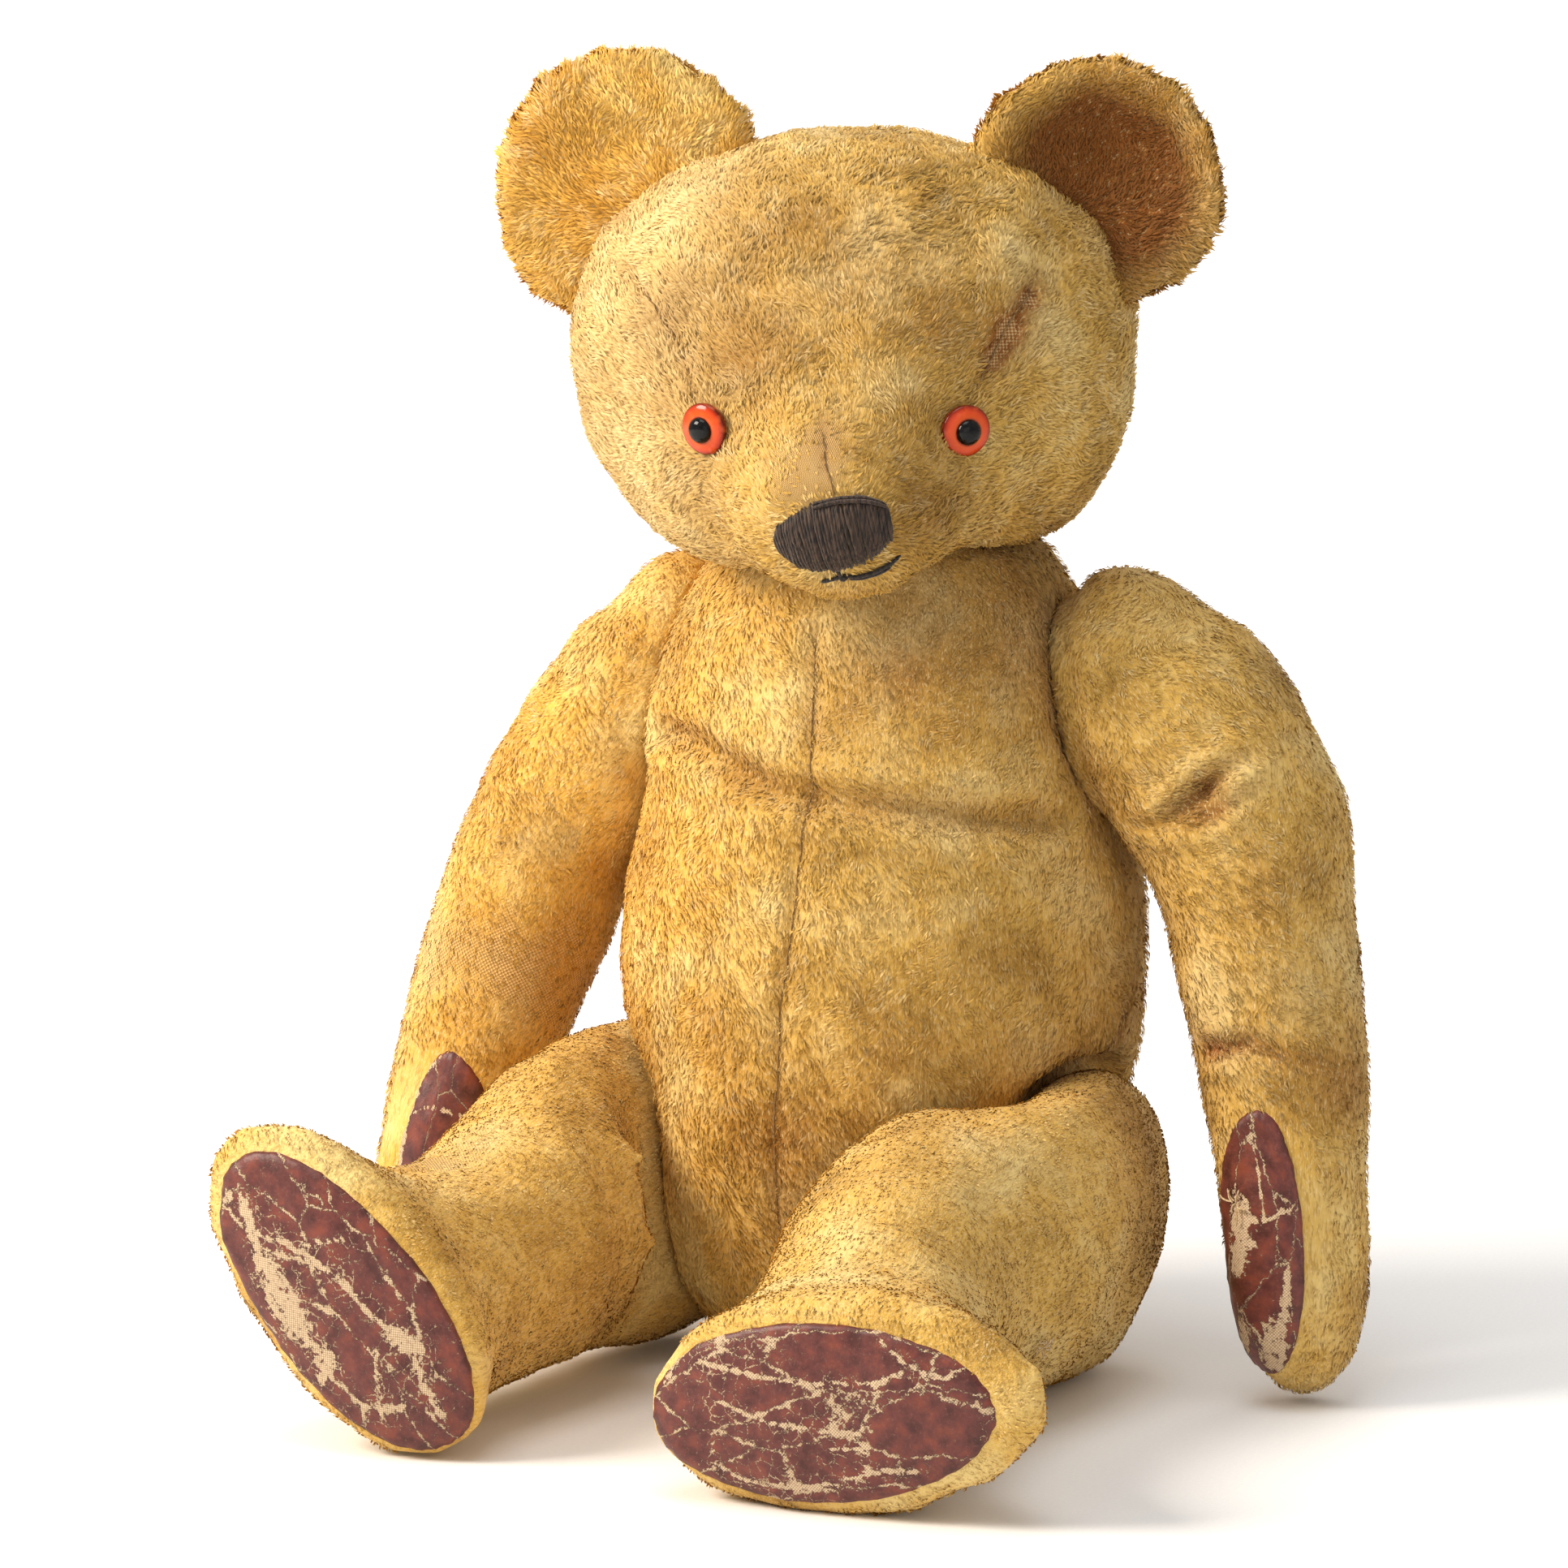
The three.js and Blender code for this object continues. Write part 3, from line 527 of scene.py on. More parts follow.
def closed_form(nodes):
    """The outer shape of some CAD nodes together: their triangles merged, then rebuilt from cubes of one size."""
    meshes = [frame["nodes"][name].data for name in nodes]
    joined = mesh_of("form", *stacked([(places_of(mesh), corners_of(mesh)) for mesh in meshes]))
    edited(joined, lambda work: bmesh.ops.remove_doubles(work, verts=work.verts, dist=1e-5))
    form = with_modifier(joined, "REMESH", mode="VOXEL", voxel_size=VOXEL, use_smooth_shade=True)
    put(form, relaxed(form, 24 if "arm" in nodes[0] or "leg" in nodes[0] else 12))
    put(form, places_of(form) - normals_of(form) * PILE_ROOM * (0.6 if nodes[0].startswith("ear") else 1))
    return form


# how wide each kind of joint's flat is, from its middle
FLATS = {"neck": 34 * MM, "shoulder": 30 * MM, "hip": 34 * MM}


def joint_planes(part):
    """The flats where a part meets its neighbours: a point, the direction out of the part, and how wide."""
    found = []
    for joint in frame["joints"]:
        if BODY_OF[part] in (joint["parent"], joint["child"]) and not part.startswith("ear"):
            at, out = np.array(joint["pos_m"]), np.array(joint["axis"])
            low, high = map(np.array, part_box(joint["child"] + "_cover"))
            out = out * np.sign(out @ ((low + high) / 2 - at))
            found.append((at, out if part == joint["parent"] else -out, FLATS[joint["name"].split("_")[0]]))
    return found


def from_plane(places, at, out):
    """How far places lie past a plane, and how far aside from the point on it."""
    rel = places - at
    depth = rel @ out
    return depth, length_of(rel - depth[:, None] * out)


def held_back(part, places):
    """Brings a skin out to the flats of its joints but not past them, and keeps it above the ground."""
    for at, out, wide in joint_planes(part):
        depth, aside = from_plane(places, at, out)
        flat = ramp(aside, 1.3 * wide, 0.9 * wide) * ramp(depth, -7 * MM, -4 * MM)
        past = depth + FLAT_GAP
        over = np.where(aside < wide, np.maximum(past, 0), 0) + flat * np.minimum(past, 0)
        places = places - over[:, None] * out
    places[:, 2] = np.maximum(places[:, 2], 0.3 * MM)
    return places


# places that are smoothed over besides the rims of the flats: middle and size in mm
SMOOTHED = {"arm_left": [([104, -4, 224], 24)]}


def rounded(part, places, edges):
    """Rounds the rims of a part's flats: points near a joint's plane move towards their neighbours' mean, many times.
    A thigh's flat first falls away from its plane towards its rim, as a stuffed one does."""
    near = np.zeros((len(places), 1))
    thigh = part.startswith("leg")
    for at, out, wide in joint_planes(part):
        depth, aside = from_plane(places, at, out)
        close = ramp(aside, 100 * MM, 76 * MM)  # only the part's own end, not a foot that the plane also passes
        if thigh:
            fall = 9 * MM * ramp(aside, 40 * MM, 70 * MM) * bell(depth / (12 * MM)) * close
            places = places - fall[:, None] * out
        near = np.maximum(near, (close * bell(depth / ((12 if thigh else 8) * MM)))[:, None])
    for middle, size in SMOOTHED.get(part, []):
        gap = length_of(places - metres(middle)) / (size * MM)
        near = np.maximum(near, bell(gap)[:, None])
    return drawn_in(places, edges, [0.6 * near] * (30 if thigh or part in SMOOTHED else 12))


def puffed(form):
    """The quick stand-in for the stuffing's push: every point moves out by most of the swelling."""
    put(form, places_of(form) + 0.8 * SWELL * normals_of(form))
    return form


def swell(forms):
    """Stuffs all the skins at once: each is cloth under pressure with no gravity, run for 20 frames, and no point
    moves further than the swelling allows."""
    holders = {}
    for name, mesh in forms.items():
        start = places_of(mesh)
        holder = bpy.data.objects.new("stuffed_" + name, mesh)
        scene.collection.objects.link(holder)
        cloth = holder.modifiers.new("pressure", "CLOTH")
        settings = cloth.settings
        settings.quality = 4
        settings.tension_stiffness, settings.compression_stiffness = 12, 12
        settings.shear_stiffness, settings.bending_stiffness = 4, 0.4
        settings.use_pressure = True
        settings.uniform_pressure_force = 4
        settings.effector_weights.gravity = 0
        cloth.collision_settings.use_collision = False
        cloth.point_cache.frame_start, cloth.point_cache.frame_end = 1, 20
        holders[name] = (holder, start)
    for number in range(1, 21):
        scene.frame_set(number)
    graph = bpy.context.evaluated_depsgraph_get()
    made = {}
    for name, (holder, start) in holders.items():
        mesh = bpy.data.meshes.new_from_object(holder.evaluated_get(graph))
        travel = places_of(mesh) - start
        length = length_of(travel)[:, None]
        put(mesh, start + travel * np.minimum(1, SWELL / np.maximum(length, 1e-9)))
        put(mesh, places_of(mesh) + 0.6 * SWELL * normals_of(mesh))
        bpy.data.objects.remove(holder)
        made[name] = mesh
    scene.frame_set(1)
    return made


def pile_lie(part, places):
    """The way the pile lies at each place, and the place in millimetres across and along that way: down the torso,
    out along the limbs, back from the nose over the head, and out from the root of each ear."""
    if part in LIMB_LINES:
        _, near, run, way = beside(places, metres(LIMB_LINES[part]))
        rel = places - near
        second = rel[:, 1] if part.startswith("arm") else rel[:, 2]
        across = np.stack([rel[:, 0], second], 1)
    elif part == "torso":
        way = np.tile([0.0, 0.0, -1.0], (len(places), 1))
        across, run = places[:, :2], -places[:, 2]
    elif part == "head":
        rel = places - (HEAD_MIDDLE + FORWARD * NOSE_TIP - UPWARD * 11 * MM)
        way = unit(rel)
        turn = np.arctan2(rel @ UPWARD, rel @ LEFT)
        across, run = np.stack([np.cos(turn), np.sin(turn)], 1) * 60 * MM, length_of(rel)
    else:
        side = SIDES[part.split("_")[1]]
        rel = places - (HEAD_MIDDLE + LEFT * side * 52 * MM + UPWARD * 32 * MM - FORWARD * 12 * MM)
        way = unit(rel)
        out = unit(rel.mean(0))
        across, run = np.stack([rel @ np.cross(out, FORWARD), rel @ FORWARD], 1), rel @ out
    return way, np.concatenate([across, run[:, None]], 1) / MM


# seams that are also creases: points in mm
BACK_SEAM = [[0, 60, 225], [0, 70, 170], [0, 72, 110], [0, 68, 50]]
BROWS = [[[-53, -69, 327], [-44, -75, 318], [-35, -78, 307], [-30, -80, 296]],
         [[64, -40, 328], [61, -44, 320], [57, -50, 312], [53, -55, 300], [50, -60, 292]]]

# creases pressed into a skin: points in mm, how wide and deep in mm, and how much painted shade darkens them in the
# stain's colour
CREASES = {
    "torso": [
        ([[-56, -40, 190], [-35, -57, 187], [-9, -66, 177], [13, -67, 174], [32, -61, 172], [51, -49, 169],
          [68, -30, 168]], 4.2, 4.4, 0.4),
        ([[0, -56, 223], [1, -61, 206], [2, -65, 187], [2, -67, 173], [0, -69, 157], [-1, -71, 136],
          [-4, -72, 114], [-5, -72, 85], [-6, -68, 45]], 2.4, 0.9, 0.25),
        *(([[side * 77, 6, 190], [side * 79, 4, 145], [side * 79, -2, 124], [side * 78, -12, 100]], 2.2, 1.6, 0.6)
          for side in SIDES.values()),
        (BACK_SEAM, 1.8, 1.2, 0.5),
    ],
    "arm_left": [
        ([[84, -34, 165], [98, -36, 168], [109, -35, 177], [118, -24, 186], [126, -12, 190]], 3.2, 6.5, 0.9),
        ([[106, -36, 168], [115, -33, 173], [122, -26, 178], [129, -15, 181]], 2.6, 3.6, 0.7),
        ([[112, -32, 103], [127, -39, 107], [140, -39, 103], [152, -31, 102]], 3.0, 2.2, 0.7),
    ],
    "arm_right": [([[-110, -32, 176], [-125, -24, 182], [-136, -6, 184]], 4.0, 2.0, 0.3)],
    "head": [
        (BROWS[0], 2.4, 1.0, 0.25), (BROWS[1], 2.4, 1.2, 0.35),
        ([[14, -85, 286], [17, -91, 275], [19, -97, 265]], 1.2, 0.6, 0.4),
        ([[-2, -91, 276], [1, -97, 265]], 1.5, 0.8, 0.4),
    ],
    "leg_left": [([[96, -170, 70], [104, -160, 50], [106, -155, 30]], 2.0, 1.2, 0.4)],
}

# patches of a skin: middle and size in mm, then how much barer and how much darker in the stain's colour they are;
# the left ear's patch is painted shade in its hollow
PATCHES = {
    "head": [([12, -92, 272], 18, 0.7, 0.1), ([61, -44, 319], 4, 0.6, 0.8), ([57, -50, 310], 5, 0.8, 1.0),
             ([54, -54, 303], 5, 0.7, 1.0), ([30, -66, 322], 34, 0.1, 0.3), ([-12, -84, 300], 18, 0.0, 0.45),
             ([42, -70, 268], 16, 0.0, 0.3), ([0, -70, 330], 30, 0.0, 0.2)],
    "torso": [([20, -68, 195], 24, 0.35, 0.15), ([70, -20, 80], 45, 0.0, 0.5), ([10, -70, 60], 34, 0.0, 0.45),
              ([60, -25, 215], 28, 0.0, 0.6), ([-55, -35, 215], 20, 0.0, 0.4), ([30, -52, 225], 26, 0.0, 0.35)],
    "arm_right": [([-125, -20, 120], 34, 0.3, 0.0), ([-95, -25, 110], 26, 0.2, 0.45),
                  ([-130, -15, 80], 36, 0.0, 0.2)],
    "arm_left": [([150, -25, 95], 14, 0.2, 0.5), ([128, -25, 115], 45, 0.0, 0.2)],
    "leg_right": [([-90, -140, 70], 30, 0.25, 0.0), ([-60, -130, 40], 30, 0.1, 0.1)],
    "leg_left": [([70, -130, 80], 30, 0.2, 0.0), ([60, -100, 85], 24, 0.0, 0.15)],
    "ear_left": [([86, -2, 350], 34, 0.0, 0.45)],
}
# how golden a part's mohair is, partly as its own unfaded colour and partly as painted light that brightens the legs,
# which the key leaves dark, and the right arm and ear on the key-lit side; apart from the torso's golden right side
# and the head's pale one, both painted light on the key-lit side
GOLD_AND_LIGHT = {"ear_right": 1.0, "ear_left": 0.5, "arm_right": 0.9, "leg_right": 0.3, "leg_left": 0.1}
# how bare each kind of part is over all, and how many millimetres its surface runs to a radian round its lie
BARENESS = {"torso": 0.3, "head": 0.2, "arm": 0.38, "leg": 0.42, "ear": 0.05}
GIRTH = {"torso": 75, "head": 60, "arm": 27, "leg": 42, "ear": 20}

# places where a skin bulges: middle, size and height in mm
BULGES = {
    "arm_left": [([103, -2, 226], 26, 6.5), ([82, -6, 240], 20, 1.5), ([116, -20, 196], 16, 2.0)],
    "head": [([62, -25, 262], 26, 6.0), ([42, -62, 250], 24, 6.0), ([-32, -60, 250], 24, 9.0),
             ([20, -80, 240], 14, 2.0)],
    "arm_right": [([-88, -8, 228], 24, 2.0), ([-66, -4, 242], 20, 4.0)],
    "torso": [([76, -5, 140], 38, 3.5), ([55, -30, 150], 50, 1.5), ([-55, -30, 120], 40, 1.5),
              ([0, -60, 90], 60, 2.0)],
}

# how an ear is bent, in mm: the depth of its cup, how far its inner upper edge hangs, and how far its lobe drops
EAR_BENDS = {"ear_left": (10, 3, -6), "ear_right": (2, 1, 6)}


def ear_shape(part, places):
    """An ear bent into its own shape: its middle pressed back, its rim rolled forwards, one edge hanging, and its
    root drawn into the head."""
    cup, hang, drop = EAR_BENDS[part]
    side = SIDES[part.split("_")[1]]
    rel = places - places.mean(0)
    outward, up = rel @ LEFT * side, rel @ UPWARD
    ring = np.hypot(outward, up) / (40 * MM)
    places = places + FORWARD * (cup * MM * (0.6 * ramp(ring, 0.5, 1.0) - bell(ring / 0.55)))[:, None]
    hanging = hang * ramp(-outward, -22 * MM, 26 * MM) * ramp(up, -2 * MM, 26 * MM)
    dropping = drop * ramp(outward, -10 * MM, 12 * MM) * ramp(-up, 4 * MM, 30 * MM)
    places = places - UPWARD * ((hanging + dropping) * MM)[:, None]
    hit, normal, gap = nearest("head", places)
    return places + (hit - normal * 3 * MM - places) * ramp(gap, 11 * MM, 4.5 * MM)[:, None]


def foot_shape(part, places):
    """A foot spread at its sole: points close to the end of the leg's line move out from it."""
    line = metres(LIMB_LINES[part])
    _, near, run, _ = beside(places, line)
    rel = places - near
    end = length_of(np.diff(line, axis=0)).sum()
    share = ramp(run, end - 26 * MM, end - 8 * MM) * ramp(length_of(rel), 6 * MM, 24 * MM)
    return places + unit(rel) * (SOLE_SPREAD * share)[:, None]


def worked(part, mesh):
    """Gives a swollen skin its lumps of stuffing and its creases, each with a swollen lip on both sides, and keeps
    what the materials read: the pile's lie, the weave's grid, how golden each place is, which is partly painted light
    on the key-lit right side, how bare, and how stained, which is partly painted shade in creases, seams and the
    left ear's hollow."""
    places, facing = places_of(mesh), normals_of(mesh)
    lumps = cloud(places, 34 * MM, 5) - 0.5 + 0.35 * (cloud(places, 12 * MM, 6) - 0.5)
    move = lumps * (1.0 if part.startswith("ear") else 2.6) * MM
    kind = part.split("_")[0]
    bare = np.full(len(places), BARENESS[kind])
    stain_and_shade = (0.05 if kind == "leg" else 0.2) * ramp(cloud(places, 26 * MM, 7), 0.5, 0.8)
    for middle, size, high in BULGES.get(part, []):
        move += high * MM * bell(length_of(places - metres(middle)) / (size * MM))
    # painted shade: the left ear's hollow darkened in the stain's colour
    if part == "ear_left":
        rel = places - places.mean(0)
        hollow = np.exp(-((np.hypot(rel @ LEFT + 4 * MM, rel @ UPWARD + 6 * MM) / (27 * MM)) ** 4))
        stain_and_shade += 0.95 * hollow * ramp(facing @ FORWARD, 0.0, 0.5)
    for path, wide, deep, dirt_and_shade in CREASES.get(part, []):
        gap = beside(places, metres(path))[0] / (wide * MM)
        move += deep * MM * (0.3 * bell((gap - 2.1) / 0.9) - bell(gap))
        # painted shade along the crease or seam, in the stain's colour
        stain_and_shade += dirt_and_shade * bell(gap / 1.2)
    for middle, size, barer, dirt_and_shade in PATCHES.get(part, []):
        rel = length_of(places - metres(middle)) / (size * MM)
        spot = np.exp(-(rel**2) * (0.6 + 0.8 * cloud(places, 6 * MM, 8)))
        bare += barer * spot
        stain_and_shade += dirt_and_shade * spot
    bare += 0.55 * (cloud(places, 22 * MM, 9, 3) - 0.5)
    put(mesh, held_back(part, places + facing * move[:, None]))
    places = places_of(mesh)
    way, lie = pile_lie(part, places)
    facing = normals_of(mesh)
    way = unit(way - (way * facing).sum(1, keepdims=True) * facing)
    round_about = np.arctan2(lie[:, 1], lie[:, 0]) * GIRTH[kind]
    # painted light: more golden on the torso and paler on the head towards the bear's right side, where the key light
    # falls
    lit_side = ramp(places[:, 0], 20 * MM, -50 * MM)
    gold_and_light = {"torso": 0.9, "head": -0.4}.get(part, 0) * lit_side + GOLD_AND_LIGHT.get(part, 0)
    bare, stain_and_shade = np.clip(bare, 0, 1), np.clip(stain_and_shade, 0, 1)
    weave = np.stack([round_about, lie[:, 2], 0 * round_about], 1)
    for name, values in (("gold_and_light", gold_and_light), ("lie", lie), ("weave", weave), ("wear", bare), ("stain_and_shade", stain_and_shade)):
        store(mesh, name, values)
    return {"way": way, "bare": bare, "stain_and_shade": stain_and_shade, "gold_and_light": gold_and_light}


forms = {part: closed_form(nodes + [PADS[part]] if part in PADS else nodes) for part, nodes in SKINS.items()}
soft = {part: form for part, form in forms.items() if not (part.startswith("ear"))}
forms = {part: puffed(form) for part, form in forms.items() if part not in soft} | swell(soft)
skins, fields = {}, {}
for part in SKINS:
    form = forms[part]
    places = relaxed(form, 6)
    if part.startswith("ear"):
        places = ear_shape(part, places)
    if part.startswith("leg"):
        places = foot_shape(part, places)
    put(form, held_back(part, rounded(part, places, edges_of(form))))
    fine = with_modifier(form, "SUBSURF", levels=1, render_levels=1)
    fields[part] = worked(part, fine)
    name = part + ("_skin" if part.startswith("ear") else "_plush")
    skins[part] = piece(name, fine, BACKING, BODY_OF[part])
    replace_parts(skins[part], *SKINS[part])

# ---- pads


# how much longer and wider a pad is on the soft skin than its CAD solid
PAD_SPREAD = {"foot": 1.12, "paw": 1.08}


def pad_place(node):
    """Where a pad lies, from its CAD solid: its middle, its long and short ways, the way it faces, and its reach."""
    low_high = places_of(frame["nodes"][node].data)
    middle = (low_high.min(0) + low_high.max(0)) / 2
    spread = np.linalg.eigh(np.cov((low_high - middle).T))[1]
    out, across, along = spread.T
    out = out * -np.sign(out[1])
    along = along * np.sign(along[2])
    across = np.cross(out, along)
    reach = [np.abs((low_high - middle) @ way).max() for way in (along, across)]
    return middle, along, across, out, [half * PAD_SPREAD[node.split("_")[0]] for half in reach]


# how flaked each pad's coating is over all, and its tears: paths in mm along and across the pad with a width
WEAR_OF_PADS = {
    "foot_left_pad": (0.5, [
        ([[-32, 15], [-13, 11], [3, 9], [20, 9], [31, 13], [24, 19], [21, 25]], 0.9),
        ([[-28, 5], [-13, -1], [3, -4], [15, -5]], 0.8), ([[-45, 10], [-36, 20]], 1.8),
        ([[-31, -14], [-22, -19], [-1, -20], [18, -15], [30, -16]], 1.1), ([[-29, 2], [-31, -14]], 0.6),
        ([[31, 13], [41, 10], [47, 15]], 0.9), ([[12, -20], [16, -9], [5, -9]], 0.6),
    ]),
    "foot_right_pad": (0.47, [
        ([[41, 4], [31, 8], [24, 12]], 2.6), ([[22, 10], [15, 13], [5, 15]], 5.2), ([[4, 15], [-10, 15]], 2.0),
        ([[-12, 20], [-8, 13]], 2.6), ([[-22, -10], [-16, -8]], 3.6),
        ([[22, 0], [7, -5], [-7, -6], [-18, -9]], 1.1), ([[30, 6], [22, -1], [14, -14]], 0.9),
        ([[-20, -9], [-33, -4], [-42, -2]], 1.2), ([[-30, 12], [-18, 2]], 1.0),
    ]),
    "paw_left_pad": (0.2, [
        ([[12, 4], [2, 3], [-6, 5]], 4.0), ([[9, 2], [8, -3], [12, -9], [13, -14]], 1.0),
        ([[-22, -7], [-33, -5]], 4.2), ([[-24, 3], [-30, 6]], 3.0), ([[36, 3], [21, -1], [9, -3]], 0.45),
        ([[-6, -10], [-20, -9]], 1.6),
    ]),
    "paw_right_pad": (0.12, [
        ([[22, 15], [23, 4], [20, -6]], 0.5), ([[38, 3], [33, 10], [20, 15], [2, 16]], 1.3),
        ([[-8, 15], [-6, -4]], 0.5), ([[-20, 8], [-30, 2]], 2.0),
    ]),
}


def pad(part, node):
    """A pad as two oval sheets joined at the rim: rings of points from the middle out, laid on the skin, the upper
    sheet raised a little and rolled down into the seam, the lower one inside the skin."""
    middle, along, across, out, (long, wide) = pad_place(node)
    rings, around = PAD_GRID
    share = np.concatenate([np.linspace(0.02, 0.94, rings - 7), np.linspace(0.955, 1.0, 7)])
    turn = np.arange(around) * 2 * math.pi / around
    flat = share[:, None, None] * np.stack([np.cos(turn) * long, np.sin(turn) * wide], -1)
    flat = flat.reshape(-1, 2)
    start = middle + flat[:, :1] * along + flat[:, 1:] * across
    under, facing, _ = nearest(part, start + out * 3 * MM)
    rim = np.repeat(share, around)
    puckers = 0.35 * np.sin(np.tile(turn, rings) * 34) * ramp(rim, 0.8, 0.97)
    relief = 1.1 - 1.9 * ramp(rim, 0.93, 1.0) + puckers * 0.5
    relief += 0.9 * (cloud(start, 9 * MM, 21) - 0.5) + 0.5 * (cloud(start, 3 * MM, 22) - 0.5)
    upper = under + facing * relief[:, None] * MM
    lower = (under - facing * 2.2 * MM)[::-1]
    centre_up, centre_low = upper[:around].mean(0), lower[-around:].mean(0)
    sheet = np.concatenate([upper, lower, centre_up[None], centre_low[None]])
    # the upper sheet's rings run outwards and the lower one's back inwards, so the grid closes at the rim
    mesh = mesh_of(node, sheet, grid_faces(rings * 2, around))
    last = rings * 2 * around

    def capped(work):
        work.verts.ensure_lookup_table()
        for ring_start, tip, turned in ((0, last, True), (last - around, last + 1, False)):
            for k in range(around):
                pair = [work.verts[ring_start + k], work.verts[ring_start + (k + 1) % around]]
                work.faces.new([*(pair[::-1] if turned else pair), work.verts[tip]]).smooth = True
        bmesh.ops.recalc_face_normals(work, faces=work.faces)

    edited(mesh, capped)
    cut = np.concatenate([flat, flat[::-1], np.zeros((2, 2))]) / MM
    level, tears = WEAR_OF_PADS[node]
    bare, flake = np.zeros(len(cut)), level + 0.5 * (cloud(sheet, 16 * MM, 23) - 0.5)
    ragged = cloud(sheet, 5 * MM, 24, 3)
    for path, size in tears:
        gap = beside(cut, path)[0] * (0.4 + 1.4 * ragged)
        bare = np.maximum(bare, np.exp(-0.6 * (gap / size) ** 2))
        flake = flake + 0.22 * bell(gap / (2 + 1.5 * size))
    # each pad's cracks are cut from a different place in one pattern
    apart = np.full((len(cut), 1), sorted(WEAR_OF_PADS).index(node) * 300.0)
    store(mesh, "cut", np.concatenate([cut, apart], 1))
    store(mesh, "bare", bare)
    store(mesh, "flake", np.clip(flake, 0, 1))
    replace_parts(piece(node.replace("_pad", "_oilcloth"), mesh, OILCLOTH, BODY_OF[part]), node)


def clear_of_pad(part, places):
    """From 0 well inside a part's pad to 1 just outside its rim."""
    if part not in PADS:
        return np.ones(len(places))
    middle, along, across, out, (long, wide) = pad_place(PADS[part])
    rel = places - middle
    inside = np.hypot(rel @ along / long, rel @ across / wide)
    return np.where(rel @ out > -14 * MM, ramp(inside, 0.985, 1.02), 1)


for part, node in PADS.items():
    pad(part, node)

# ---- pile


# seams of the skins: points in mm
SEAMS = {
    "torso": [[[0, -56, 223], [1, -61, 206], [2, -65, 187], [2, -67, 173], [0, -69, 157], [-1, -71, 136],
               [-4, -72, 114], [-5, -72, 93], [-6, -72, 85], [-6, -68, 45]], BACK_SEAM],
    "head": [*BROWS, [[14, -87, 282], [19, -92, 270], [21, -94, 265]]],
}


